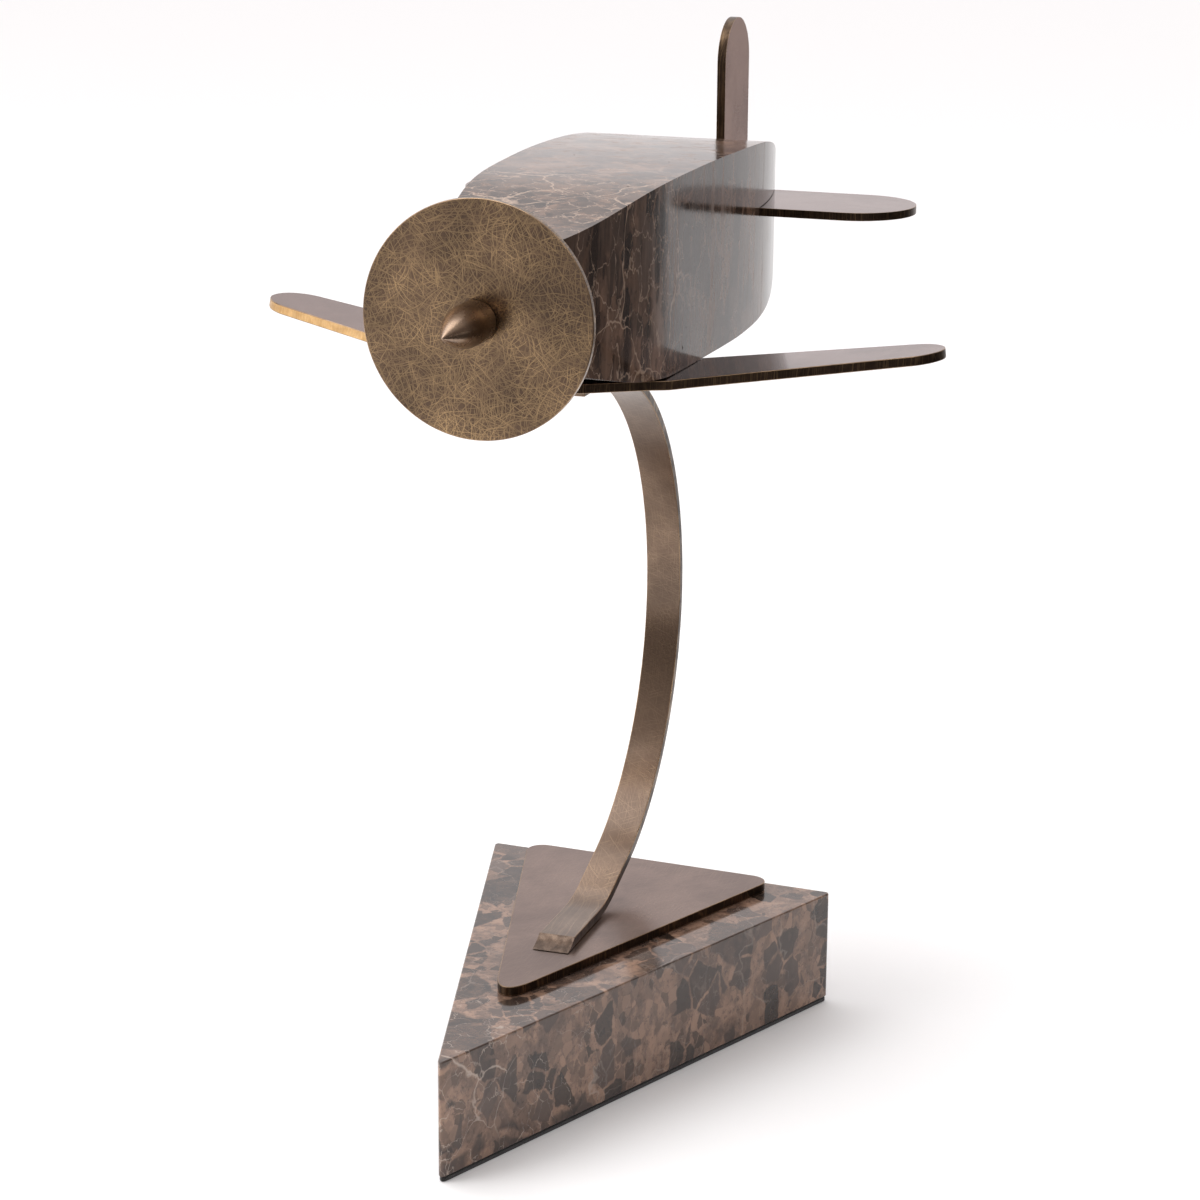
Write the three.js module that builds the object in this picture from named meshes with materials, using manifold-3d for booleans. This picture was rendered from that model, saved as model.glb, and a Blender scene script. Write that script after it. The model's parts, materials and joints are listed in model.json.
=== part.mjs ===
// Desk aeroplane sculpture: a marble fuselage with metal wing, tail and propeller disc, carried by a bowed flat bar
// on a triangular metal plate and a triangular marble base.
// Millimetres, +Z up. The nose points towards -Y. Left and right are named as seen from the front, so +X is right.
// The origin lies on the underside of the felt, below the front end of the bar's foot, in the aeroplane's
// plane of symmetry.

import * as THREE from 'three';
import { mergeVertices } from 'three/addons/utils/BufferGeometryUtils.js';
import Module from 'manifold-3d';

// ---------------------------------------------------------------- driving dimensions

const GAP = 0.3;                    // clearance left between two pieces that touch
const SIDES = 32;                   // facets round a small turned piece
const DISC_SIDES = 72;              // facets round the propeller disc

// Stand
const STAND_TURN = THREE.MathUtils.degToRad(-4);  // the aeroplane sits a little askew on its base
const FELT_THICKNESS = 2;
const FELT_INSET = 0.3;
const BASE_SHIFT_X = 1.9;           // the base sits a little to the right of the bar, and the plate to the left
const BASE_APEX_Y = -126;           // front corner, measured from the bar's foot
const BASE_LENGTH = 242.2;
const BASE_HALF_WIDTH = 83;
const BASE_HEIGHT = 49.9;
const BASE_CORNER_RADIUS = 2;
const PLATE_SHIFT_X = -1.3;
const PLATE_APEX_Y = -64.5;
const PLATE_LENGTH = 176.5;
const PLATE_HALF_WIDTH = 61;
const PLATE_THICKNESS = 4;
const PLATE_CORNER_RADIUS = 8;

const BASE_BOTTOM = FELT_THICKNESS + GAP;
const BASE_TOP = BASE_BOTTOM + BASE_HEIGHT;
const PLATE_BOTTOM = BASE_TOP + GAP;
const PLATE_TOP = PLATE_BOTTOM + PLATE_THICKNESS;

// Fasteners of the base: a stud, washer and nut at each of three places, in the stand's own plan
const BASE_FIXINGS = [
  ['front', 0, -18],
  ['right', 32, 84],
  ['left', -32, 84],
];
const BASE_STUD_RADIUS = 4;
const BASE_HOLE_RADIUS = 4.6;
const COUNTERBORE_RADIUS = 12;
const COUNTERBORE_DEPTH = 14;
const BASE_WASHER_RADIUS = 10;
const BASE_WASHER_THICKNESS = 2;
const BASE_NUT_FLATS = 13;
const BASE_NUT_HEIGHT = 6.5;

// Bowed bar: flat foot, easy bend, short straight, long bow, flat top under the wing
const BAR_WIDTH = 16;
const BAR_THICKNESS = 4;
const BAR_FOOT_START_Y = 0;
const BAR_FOOT_LENGTH = 32.4;
const BAR_FOOT_BEND_RADIUS = 62;
const BAR_FOOT_BEND_ANGLE = THREE.MathUtils.degToRad(20);
const BAR_STRAIGHT_LENGTH = 21.4;
const BAR_BOW_RADIUS = 116.9;
const BAR_TOP_LENGTH = 24;
const BAR_STEP_ANGLE = THREE.MathUtils.degToRad(5);
const WELD_HEIGHT = 3.2;
const WELD_REACH = 2.4;

// Aeroplane: its own frame has the centre of the disc's front face at the origin
const AIRCRAFT_Y = -95;
const AIRCRAFT_Z = 344.9;
const DISC_RADIUS = 46.5;
const DISC_THICKNESS = 3;
const NOSE_Y = 7;
const TAIL_Y = 368;
const BELLY_Z = -41.9;              // flat land of the fuselage, where the wing lies

// Half width of the fuselage in plan, from nose to tail: [distance from the disc, half width]
const PLAN_HALF = [
  [NOSE_Y, 17], [45, 29.2], [98, 38.6], [160, 42.3], [218, 43.6], [262, 41], [305, 32.4], [340, 20.2], [362, 7.5],
];
// Height of its top and underside in side view, from nose to tail: [distance from the disc, height]
const TOP_LINE = [
  [NOSE_Y, 25], [45, 30], [98, 37.6], [150, 39.7], [200, 39.6], [245, 37.8], [275, 33.8], [303, 27], [330, 17.2],
  [355, 6],
];
const BELLY_FRONT = [[NOSE_Y, -20.5], [45, -29], [80, -37.2], [110, -41.3], [126, BELLY_Z]];
const BELLY_REAR = [[205, BELLY_Z], [245, -40.3], [285, -35.2], [323, -23.5], [352, -10]];

// Wing: one plate, swept back, with its outer panels raised
const WING_THICKNESS = 4;
const WING_TOP = BELLY_Z - GAP;
const WING_BOTTOM = WING_TOP - WING_THICKNESS;
const WING_SHIFT_X = -1.9;          // the plate sits a little to the left of the body's middle
const WING_BEND_X = 44;
// Slope of each outer panel, bent up by hand
const WING_SLOPES = [
  [1, Math.tan(THREE.MathUtils.degToRad(7))],
  [-1, Math.tan(THREE.MathUtils.degToRad(8.8))],
];
// Corners of its right half in plan: [x, y, corner radius]
const WING_HALF = [
  [0, 84, 26], [42, 110.5, 70], [149.6, 139.5, 15], [149.6, 167, 15], [42, 160, 60],
];
const WING_SCREWS = [['front', 111.5], ['rear', 123]];
const WING_SCREW_RADIUS = 2.5;
const WING_SCREW_HOLE_RADIUS = 2.85;
const WING_SCREW_HEAD_RADIUS = 4.8;
const WING_SCREW_HEAD_HEIGHT = WING_SCREW_HEAD_RADIUS - WING_SCREW_RADIUS;
const WING_SCREW_SOCKET_RADIUS = 1.7;
const WING_SCREW_SOCKET_DEPTH = 2;
const INSERT_RADIUS = 3.6;
const INSERT_LENGTH = 10;
const INSERT_BORE = 2.8;
const BAR_TOP_UNDERSIDE = WING_BOTTOM - GAP - BAR_THICKNESS;

// Tail plates
const FIN_THICKNESS = 4;
const FIN_FRONT_Y = 325.5;
const FIN_REAR_Y = 365.5;
const FIN_TOP = 81.5;
const FIN_TANG_BOTTOM = 4;
const TAILPLANE_THICKNESS = 3.6;
const TAILPLANE_TOP = 9.4;
const TAILPLANE_FRONT_Y = 242;
const TAILPLANE_REAR_Y = 296;
const TAILPLANE_REACH = 106.5;      // from the middle of the body to the right tip
const TAILPLANE_REACH_LEFT = 104;   // the left plate is let in a little deeper
const TAILPLANE_TANG_X = 24;

// Propeller and its bearing
const STUD_RADIUS = 3;
const STUD_HOLE_RADIUS = 3.3;
const STUD_FRONT_Y = -17.6;
const STUD_REAR_Y = 26;
const NOSE_BORE_RADIUS = 5.6;
const NOSE_BORE_DEPTH = 22;
const NOSE_INSERT_RADIUS = 5.3;
const BUSH_BARREL_RADIUS = 5;
const BUSH_FLANGE_RADIUS = 8;
const DISC_BORE_RADIUS = 5.3;
const FRONT_WASHER_RADIUS = 8;
const FRONT_WASHER_THICKNESS = 1;
const SPINNER_RADIUS = 8.4;
const SPINNER_TIP_Y = -36.6;
const SPINNER_BORE_DEPTH = 16;

// ---------------------------------------------------------------- materials

const finish = (color, roughness, metalness) => new THREE.MeshStandardMaterial({ color, roughness, metalness });
const FINISHES = {
  marble: () => finish(0x5b4a42, 0.22, 0),
  bronze: () => finish(0x6e5638, 0.45, 1),
  brass: () => finish(0xb08d4a, 0.35, 1),
  steel: () => finish(0x9a9a98, 0.4, 1),
  felt: () => finish(0x141416, 0.95, 0),
};

// ---------------------------------------------------------------- solids

const wasm = await Module();
wasm.setup();

/** Reduces a geometry to welded positions, with its faces pointing out. */
function welded(geometry) {
  const bare = geometry.clone();
  bare.deleteAttribute('normal');
  bare.deleteAttribute('uv');
  const merged = mergeVertices(bare, 1e-4);
  const index = merged.index.array;
  const corner = [new THREE.Vector3(), new THREE.Vector3(), new THREE.Vector3()];
  let volume = 0;
  for (let i = 0; i < index.length; i += 3) {
    corner.forEach((vertex, k) => vertex.fromBufferAttribute(merged.attributes.position, index[i + k]));
    volume += corner[0].dot(corner[1].clone().cross(corner[2]));
  }
  if (volume < 0) {
    for (let i = 0; i < index.length; i += 3) {
      [index[i + 1], index[i + 2]] = [index[i + 2], index[i + 1]];
    }
  }
  return merged;
}

/** Turns a closed geometry into a solid that can be cut and joined. */
function solid(geometry) {
  const merged = welded(geometry);
  const mesh = new wasm.Mesh({
    numProp: 3,
    vertProperties: new Float32Array(merged.attributes.position.array),
    triVerts: new Uint32Array(merged.index.array),
  });
  return new wasm.Manifold(mesh);
}

/** Turns a solid back into a geometry. */
function geometryOf(body) {
  const mesh = body.getMesh();
  const geometry = new THREE.BufferGeometry();
  geometry.setAttribute('position', new THREE.BufferAttribute(new Float32Array(mesh.vertProperties), 3));
  geometry.setIndex(new THREE.BufferAttribute(new Uint32Array(mesh.triVerts), 1));
  return geometry;
}

/** Cuts every tool in a list out of a geometry. */
function cut(geometry, tools) {
  return geometryOf(tools.reduce((body, tool) => body.subtract(solid(tool)), solid(geometry)));
}

/** Plate with the given outline in plan, from one height to another. */
function plate(shape, bottom, top, curveSegments = 8) {
  const settings = { depth: top - bottom, bevelEnabled: false, curveSegments };
  return new THREE.ExtrudeGeometry(shape, settings).translate(0, 0, bottom);
}

/** Outline drawn in the side view (Y across, Z up), extruded sideways between two values of X. */
function sidePlate(shape, xFrom, xTo, curveSegments = 8) {
  const settings = { depth: xTo - xFrom, bevelEnabled: false, curveSegments };
  const upright = new THREE.Matrix4().set(
    0, 0, 1, xFrom,
    1, 0, 0, 0,
    0, 1, 0, 0,
    0, 0, 0, 1,
  );
  return new THREE.ExtrudeGeometry(shape, settings).applyMatrix4(upright);
}

/** Box between two opposite corners. */
function block(low, high) {
  const size = high.map((value, axis) => value - low[axis]);
  const centre = high.map((value, axis) => (value + low[axis]) / 2);
  return new THREE.BoxGeometry(...size).translate(...centre);
}

/** Round piece about the Y axis from a closed profile of [radius, y] points. */
function turned(profile, sides = SIDES) {
  const points = profile.map(([radius, y]) => new THREE.Vector2(radius, y));
  return new THREE.LatheGeometry(points, sides);
}

/** The same round piece about the vertical axis. */
function turnedUpright(profile, sides = SIDES) {
  return turned(profile, sides).rotateX(Math.PI / 2);
}

/** Profile of a solid rod between two heights. */
function rod(radius, low, high) {
  return [[0, low], [radius, low], [radius, high], [0, high]];
}

/** Profile of a ring or sleeve between two heights. */
function sleeve(inner, outer, low, high) {
  return [[inner, low], [outer, low], [outer, high], [inner, high], [inner, low]];
}

/** Closed outline through [x, y, radius] corners, each rounded by a true arc. */
function roundedOutline(corners) {
  const shape = new THREE.Shape();
  corners.forEach(([x, y, radius], i) => {
    const here = new THREE.Vector2(x, y);
    const [px, py] = corners[(i + corners.length - 1) % corners.length];
    const [nx, ny] = corners[(i + 1) % corners.length];
    const back = new THREE.Vector2(px, py).sub(here).normalize();
    const on = new THREE.Vector2(nx, ny).sub(here).normalize();
    const half = Math.acos(THREE.MathUtils.clamp(back.dot(on), -1, 1)) / 2;
    const start = here.clone().addScaledVector(back, radius / Math.tan(half));
    const end = here.clone().addScaledVector(on, radius / Math.tan(half));
    const centre = here.clone().addScaledVector(back.clone().add(on).normalize(), radius / Math.sin(half));
    const clockwise = back.cross(on) > 0;
    const from = start.clone().sub(centre).angle();
    const to = end.clone().sub(centre).angle();
    if (i === 0) {
      shape.moveTo(start.x, start.y);
    } else {
      shape.lineTo(start.x, start.y);
    }
    shape.absarc(centre.x, centre.y, radius, from, to, clockwise);
  });
  shape.closePath();
  return shape;
}

/** Triangle with its apex forward, and one radius on all its corners. */
function triangle(apexY, length, halfWidth, radius) {
  const backY = apexY + length;
  return roundedOutline([[0, apexY, radius], [halfWidth, backY, radius], [-halfWidth, backY, radius]]);
}

// ---------------------------------------------------------------- assembly

const model = new THREE.Group();
model.name = 'desk_aeroplane';
const stand = new THREE.Group();
stand.rotation.z = STAND_TURN;
const aircraft = new THREE.Group();
aircraft.position.set(0, AIRCRAFT_Y, AIRCRAFT_Z);
model.add(stand, aircraft);

/** Adds a named piece to a group. */
function add(group, name, geometry, material) {
  const mesh = new THREE.Mesh(welded(geometry), FINISHES[material]());
  mesh.name = name;
  group.add(mesh);
}

// ---------------------------------------------------------------- stand

function buildBase() {
  const counterboreTop = BASE_BOTTOM + COUNTERBORE_DEPTH;
  const holes = BASE_FIXINGS.flatMap(([, x, y]) => [
    turnedUpright(rod(BASE_HOLE_RADIUS, BASE_BOTTOM - 1, BASE_TOP + 1)).translate(x, y, 0),
    turnedUpright(rod(COUNTERBORE_RADIUS, BASE_BOTTOM - 1, counterboreTop)).translate(x, y, 0),
  ]);
  const outline = triangle(BASE_APEX_Y, BASE_LENGTH, BASE_HALF_WIDTH, BASE_CORNER_RADIUS);
  const slab = plate(outline, BASE_BOTTOM, BASE_TOP, 5).translate(BASE_SHIFT_X, 0, 0);
  add(stand, 'marble_base', cut(slab, holes), 'marble');

  // An inset of a triangle's edges moves its corners in by more, in proportion to how sharp they are
  const slant = Math.hypot(BASE_HALF_WIDTH, BASE_LENGTH);
  const apexShift = FELT_INSET * slant / BASE_HALF_WIDTH;
  const feltLength = BASE_LENGTH - apexShift - FELT_INSET;
  const feltHalfWidth = BASE_HALF_WIDTH * feltLength / BASE_LENGTH;
  const felt = triangle(BASE_APEX_Y + apexShift, feltLength, feltHalfWidth, BASE_CORNER_RADIUS);
  add(stand, 'felt_pad', plate(felt, 0, FELT_THICKNESS, 5).translate(BASE_SHIFT_X, 0, 0), 'felt');
}

function buildBasePlate() {
  const outline = triangle(PLATE_APEX_Y, PLATE_LENGTH, PLATE_HALF_WIDTH, PLATE_CORNER_RADIUS);
  add(stand, 'base_plate', plate(outline, PLATE_BOTTOM, PLATE_TOP, 10).translate(PLATE_SHIFT_X, 0, 0), 'bronze');
}

function buildBaseFixing(side, x, y) {
  const washerTop = BASE_BOTTOM + COUNTERBORE_DEPTH - GAP;
  const washerBottom = washerTop - BASE_WASHER_THICKNESS;
  const nutTop = washerBottom - GAP;
  const nutBottom = nutTop - BASE_NUT_HEIGHT;
  const stud = turnedUpright(rod(BASE_STUD_RADIUS, nutBottom - 1.5, BASE_TOP)).translate(x, y, 0);
  add(stand, `base_stud_${side}`, stud, 'steel');
  const bore = BASE_STUD_RADIUS + GAP;
  const washer = turnedUpright(sleeve(bore, BASE_WASHER_RADIUS, washerBottom, washerTop));
  add(stand, `base_washer_${side}`, washer.translate(x, y, 0), 'steel');
  const nutRadius = BASE_NUT_FLATS / Math.sqrt(3);
  const hexagon = new THREE.CylinderGeometry(nutRadius, nutRadius, BASE_NUT_HEIGHT, 6).rotateX(Math.PI / 2);
  hexagon.translate(0, 0, (nutBottom + nutTop) / 2);
  const nut = cut(hexagon, [turnedUpright(rod(bore, nutBottom - 1, nutTop + 1))]);
  add(stand, `base_nut_${side}`, nut.translate(x, y, 0), 'steel');
}

// ---------------------------------------------------------------- bowed bar

/** Middle line of the bar in side view, as points with the direction that the bar runs in. */
function barPath() {
  const path = [];
  let y = BAR_FOOT_START_Y;
  let z = PLATE_TOP + GAP + BAR_THICKNESS / 2;
  let heading = 0;
  const mark = () => path.push({ y, z, heading });
  const straight = (length) => {
    y += length * Math.cos(heading);
    z += length * Math.sin(heading);
    mark();
  };
  const bend = (radius, angle) => {
    const steps = Math.ceil(angle / BAR_STEP_ANGLE);
    for (let i = 0; i < steps; i += 1) {
      const next = heading + angle / steps;
      y += radius * (Math.sin(next) - Math.sin(heading));
      z += radius * (Math.cos(heading) - Math.cos(next));
      heading = next;
      mark();
    }
  };
  mark();
  straight(BAR_FOOT_LENGTH);
  bend(BAR_FOOT_BEND_RADIUS, BAR_FOOT_BEND_ANGLE);
  straight(BAR_STRAIGHT_LENGTH);
  bend(BAR_BOW_RADIUS, Math.PI - BAR_FOOT_BEND_ANGLE);
  straight(BAR_TOP_LENGTH);
  return path;
}

/** Profile of a countersunk hole up through the bar, from the bar's underside at height 0. */
function countersink() {
  const mouth = WING_SCREW_HEAD_RADIUS + GAP + 1;
  return [
    [0, -1],
    [mouth, -1],
    [WING_SCREW_HOLE_RADIUS, mouth - WING_SCREW_HOLE_RADIUS - 1],
    [WING_SCREW_HOLE_RADIUS, BAR_THICKNESS + 1],
    [0, BAR_THICKNESS + 1],
  ];
}

function buildBar() {
  const half = BAR_THICKNESS / 2;
  const path = barPath();
  const face = (side) => path.map(({ y, z, heading }) => (
    new THREE.Vector2(y - side * half * Math.sin(heading), z + side * half * Math.cos(heading))
  ));
  const outline = new THREE.Shape([...face(-1), ...face(1).reverse()]);
  const holes = WING_SCREWS.map(([, y]) => (
    turnedUpright(countersink()).translate(0, AIRCRAFT_Y + y, AIRCRAFT_Z + BAR_TOP_UNDERSIDE)
  ));
  const bar = cut(sidePlate(outline, -BAR_WIDTH / 2, BAR_WIDTH / 2), holes);
  add(model, 'support_strap', bar, 'bronze');
}

/** Weld across the front end of the foot: a hollow-faced fillet between the bar's end and the plate. */
function buildWeld() {
  const rear = BAR_FOOT_START_Y - GAP;
  const low = PLATE_TOP + GAP;
  const fillet = new THREE.Shape();
  fillet.moveTo(rear, low);
  fillet.lineTo(rear, low + WELD_HEIGHT);
  fillet.quadraticCurveTo(rear - WELD_REACH * 0.35, low + WELD_HEIGHT * 0.35, rear - WELD_REACH, low);
  fillet.closePath();
  add(model, 'foot_weld', sidePlate(fillet, -BAR_WIDTH / 2, BAR_WIDTH / 2, 6), 'bronze');
}

// ---------------------------------------------------------------- fuselage

/** Smooth curve through [across, up] points. */
function smooth(points, divisions) {
  return new THREE.SplineCurve(points.map(([a, b]) => new THREE.Vector2(a, b))).getPoints(divisions);
}

function fuselageBody() {
  const right = PLAN_HALF.map(([y, half]) => [half, y]);
  const left = PLAN_HALF.map(([y, half]) => [-half, y]).reverse();
  const plan = new THREE.Shape(smooth([...right, [0, TAIL_Y], ...left], 72));
  const lower = [...BELLY_REAR].reverse();
  const rear = smooth([...TOP_LINE, [TAIL_Y - 1, -2], ...lower], 72);
  const front = smooth([...BELLY_FRONT].reverse(), 12);
  const side = new THREE.Shape([...rear, ...front]);
  const planBody = solid(plate(plan, -60, 60));
  const sideBody = solid(sidePlate(side, -60, 60));
  return geometryOf(planBody.intersect(sideBody));
}

function buildFuselage() {
  const finSlot = FIN_THICKNESS / 2 + GAP;
  const slots = [1, -1].map((side) => {
    const inner = side * (TAILPLANE_TANG_X - GAP);
    const outer = side * TAILPLANE_REACH;
    const low = [Math.min(inner, outer), TAILPLANE_FRONT_Y - GAP, TAILPLANE_TOP - TAILPLANE_THICKNESS - GAP];
    const high = [Math.max(inner, outer), TAILPLANE_REAR_Y + GAP, TAILPLANE_TOP + GAP];
    return block(low, high);
  });
  slots.push(block([-finSlot, FIN_FRONT_Y - GAP, FIN_TANG_BOTTOM - GAP], [finSlot, TAIL_Y + 10, FIN_TOP]));
  const inserts = WING_SCREWS.map(([, y]) => {
    const depth = BELLY_Z + INSERT_LENGTH + 3;
    return turnedUpright(rod(INSERT_RADIUS + GAP, BELLY_Z - 5, depth)).translate(0, y, 0);
  });
  const noseBore = turned(rod(NOSE_BORE_RADIUS, NOSE_Y - 5, NOSE_Y + NOSE_BORE_DEPTH));
  add(aircraft, 'fuselage', cut(fuselageBody(), [...slots, ...inserts, noseBore]), 'marble');
}

// ---------------------------------------------------------------- wing and its screws

/** The wing lies flat under the fuselage, and each outer panel is sheared upwards from the bend. */
function buildWing() {
  const right = WING_HALF;
  const left = WING_HALF.slice(1).map(([x, y, radius]) => [-x, y, radius]).reverse();
  const whole = solid(plate(roundedOutline([...right, ...left]), WING_BOTTOM, WING_TOP, 10));
  const centre = whole.intersect(solid(block([-WING_BEND_X, 0, -100], [WING_BEND_X, 300, 0])));
  const panels = WING_SLOPES.map(([side, slope]) => {
    const edges = [side * WING_BEND_X, side * 200].sort((a, b) => a - b);
    const outer = whole.intersect(solid(block([edges[0], 0, -100], [edges[1], 300, 0])));
    const raise = new THREE.Matrix4().makeShear(0, side * slope, 0, 0, 0, 0);
    raise.premultiply(new THREE.Matrix4().makeTranslation(0, 0, -WING_BEND_X * slope));
    return solid(geometryOf(outer).applyMatrix4(raise));
  });
  const joined = panels.reduce((body, panel) => body.add(panel), centre);
  const holes = WING_SCREWS.map(([, y]) => (
    turnedUpright(rod(WING_SCREW_HOLE_RADIUS, WING_TOP - 10, WING_TOP + 10)).translate(0, y, 0)
  ));
  add(aircraft, 'wing', cut(geometryOf(joined).translate(WING_SHIFT_X, 0, 0), holes), 'bronze');
}

/** Countersunk screw, flush with the bar's underside, and the threaded insert that it is driven into. */
function buildWingFixing(place, y) {
  const shankTop = BELLY_Z + INSERT_LENGTH;
  const screw = turnedUpright([
    [0, BAR_TOP_UNDERSIDE],
    [WING_SCREW_HEAD_RADIUS, BAR_TOP_UNDERSIDE],
    [WING_SCREW_RADIUS, BAR_TOP_UNDERSIDE + WING_SCREW_HEAD_HEIGHT],
    [WING_SCREW_RADIUS, shankTop],
    [0, shankTop],
  ]);
  const across = WING_SCREW_SOCKET_RADIUS;
  const socket = new THREE.CylinderGeometry(across, across, WING_SCREW_SOCKET_DEPTH * 2, 6).rotateX(Math.PI / 2);
  socket.translate(0, 0, BAR_TOP_UNDERSIDE);
  add(aircraft, `wing_screw_${place}`, cut(screw, [socket]).translate(0, y, 0), 'bronze');
  const insert = turnedUpright(sleeve(INSERT_BORE, INSERT_RADIUS, BELLY_Z + 1, BELLY_Z + 1 + INSERT_LENGTH));
  add(aircraft, `wing_insert_${place}`, insert.translate(0, y, 0), 'brass');
}

// ---------------------------------------------------------------- tail

/** Upright plate with a half-round top and a tang let into the fuselage. */
function buildFin() {
  const radius = (FIN_REAR_Y - FIN_FRONT_Y) / 2;
  const outline = new THREE.Shape();
  outline.moveTo(FIN_REAR_Y, FIN_TANG_BOTTOM);
  outline.lineTo(FIN_REAR_Y, FIN_TOP - radius);
  outline.absarc(FIN_FRONT_Y + radius, FIN_TOP - radius, radius, 0, Math.PI, false);
  outline.lineTo(FIN_FRONT_Y, FIN_TANG_BOTTOM);
  outline.closePath();
  add(aircraft, 'fin', sidePlate(outline, -FIN_THICKNESS / 2, FIN_THICKNESS / 2, 16), 'bronze');
}

/** Flat plate with a half-round tip and a tang let into the side of the fuselage. */
function buildTailplane(name, side, reach) {
  const radius = (TAILPLANE_REAR_Y - TAILPLANE_FRONT_Y) / 2;
  const middle = TAILPLANE_FRONT_Y + radius;
  const tipX = reach - radius;
  const outline = new THREE.Shape();
  outline.moveTo(side * TAILPLANE_TANG_X, TAILPLANE_FRONT_Y);
  outline.lineTo(side * tipX, TAILPLANE_FRONT_Y);
  outline.absarc(side * tipX, middle, radius, -Math.PI / 2, Math.PI / 2, side < 0);
  outline.lineTo(side * TAILPLANE_TANG_X, TAILPLANE_REAR_Y);
  outline.closePath();
  const bottom = TAILPLANE_TOP - TAILPLANE_THICKNESS;
  add(aircraft, name, plate(outline, bottom, TAILPLANE_TOP, 16), 'bronze');
}

// ---------------------------------------------------------------- propeller

function buildPropeller() {
  const disc = turned(sleeve(DISC_BORE_RADIUS, DISC_RADIUS, 0, DISC_THICKNESS), DISC_SIDES);
  add(aircraft, 'propeller_disc', disc, 'bronze');

  const bush = turned([
    [STUD_HOLE_RADIUS, -GAP],
    [BUSH_BARREL_RADIUS, -GAP],
    [BUSH_BARREL_RADIUS, DISC_THICKNESS + GAP],
    [BUSH_FLANGE_RADIUS, DISC_THICKNESS + GAP],
    [BUSH_FLANGE_RADIUS, NOSE_Y - GAP],
    [STUD_HOLE_RADIUS, NOSE_Y - GAP],
    [STUD_HOLE_RADIUS, -GAP],
  ]);
  add(aircraft, 'propeller_bush', bush, 'brass');

  const washerRear = -2 * GAP;
  const washerFront = washerRear - FRONT_WASHER_THICKNESS;
  const washer = turned(sleeve(STUD_HOLE_RADIUS, FRONT_WASHER_RADIUS, washerFront, washerRear));
  add(aircraft, 'front_washer', washer, 'bronze');

  const stud = turned(rod(STUD_RADIUS, STUD_FRONT_Y, STUD_REAR_Y));
  add(aircraft, 'propeller_stud', stud, 'steel');
  const insert = turned(sleeve(STUD_HOLE_RADIUS, NOSE_INSERT_RADIUS, NOSE_Y + 1, STUD_REAR_Y));
  add(aircraft, 'nose_insert', insert, 'brass');
  buildSpinner(washerFront - GAP);
}

/** Bullet with a pointed arch for its profile, bored from behind for the stud. */
function buildSpinner(rearY) {
  const shoulderY = rearY - 9;
  const arch = new THREE.CubicBezierCurve(
    new THREE.Vector2(SPINNER_RADIUS, shoulderY),
    new THREE.Vector2(SPINNER_RADIUS, shoulderY - 8),
    new THREE.Vector2(SPINNER_RADIUS * 0.45, SPINNER_TIP_Y + 7),
    new THREE.Vector2(0, SPINNER_TIP_Y),
  ).getPoints(12);
  const profile = [
    [0, rearY - SPINNER_BORE_DEPTH],
    [STUD_HOLE_RADIUS, rearY - SPINNER_BORE_DEPTH],
    [STUD_HOLE_RADIUS, rearY],
    [SPINNER_RADIUS, rearY],
    ...arch.map((point) => [point.x, point.y]),
  ];
  add(aircraft, 'spinner', turned(profile), 'bronze');
}

// ---------------------------------------------------------------- build

buildBase();
buildBasePlate();
BASE_FIXINGS.forEach(([side, x, y]) => buildBaseFixing(side, x, y));
buildBar();
buildWeld();
buildFuselage();
buildWing();
WING_SCREWS.forEach(([place, y]) => buildWingFixing(place, y));
buildFin();
buildTailplane('tailplane_right', 1, TAILPLANE_REACH);
buildTailplane('tailplane_left', -1, TAILPLANE_REACH_LEFT);
buildPropeller();

export default model;
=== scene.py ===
"""Desk aeroplane sculpture: a polished marble body with antique bronze wing, tail and propeller disc.

It stands on a bowed bronze bar, welded to a triangular bronze plate on a triangular marble base.
Sizes of the pieces are in millimetres, the scene is in metres, +Z is up and the nose points towards -Y.
"""

import json
import logging
import math
from contextlib import contextmanager
from dataclasses import dataclass, field
from enum import Enum
from typing import Callable, Iterator, Sequence

import bmesh
import bpy
import numpy as np
from mathutils import Matrix, Vector, noise

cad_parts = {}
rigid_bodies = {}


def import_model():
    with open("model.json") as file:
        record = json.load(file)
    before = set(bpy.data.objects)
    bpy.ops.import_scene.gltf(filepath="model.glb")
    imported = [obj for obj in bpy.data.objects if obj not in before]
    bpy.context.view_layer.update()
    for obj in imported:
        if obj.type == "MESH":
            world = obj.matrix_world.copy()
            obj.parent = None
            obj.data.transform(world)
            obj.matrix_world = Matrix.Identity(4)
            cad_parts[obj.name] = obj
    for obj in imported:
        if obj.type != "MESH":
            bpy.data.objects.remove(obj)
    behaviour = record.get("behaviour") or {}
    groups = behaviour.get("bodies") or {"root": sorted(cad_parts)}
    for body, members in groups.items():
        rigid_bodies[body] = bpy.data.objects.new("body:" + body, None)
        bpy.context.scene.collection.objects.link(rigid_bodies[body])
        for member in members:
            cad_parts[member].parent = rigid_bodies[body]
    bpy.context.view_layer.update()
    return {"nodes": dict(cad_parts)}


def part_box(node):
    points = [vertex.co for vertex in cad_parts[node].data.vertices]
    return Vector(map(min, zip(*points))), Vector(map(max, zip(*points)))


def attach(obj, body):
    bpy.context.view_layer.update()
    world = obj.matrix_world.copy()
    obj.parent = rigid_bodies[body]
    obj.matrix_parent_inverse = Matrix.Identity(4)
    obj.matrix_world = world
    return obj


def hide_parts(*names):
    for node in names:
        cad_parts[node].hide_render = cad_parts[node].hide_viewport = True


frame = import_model()

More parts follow.
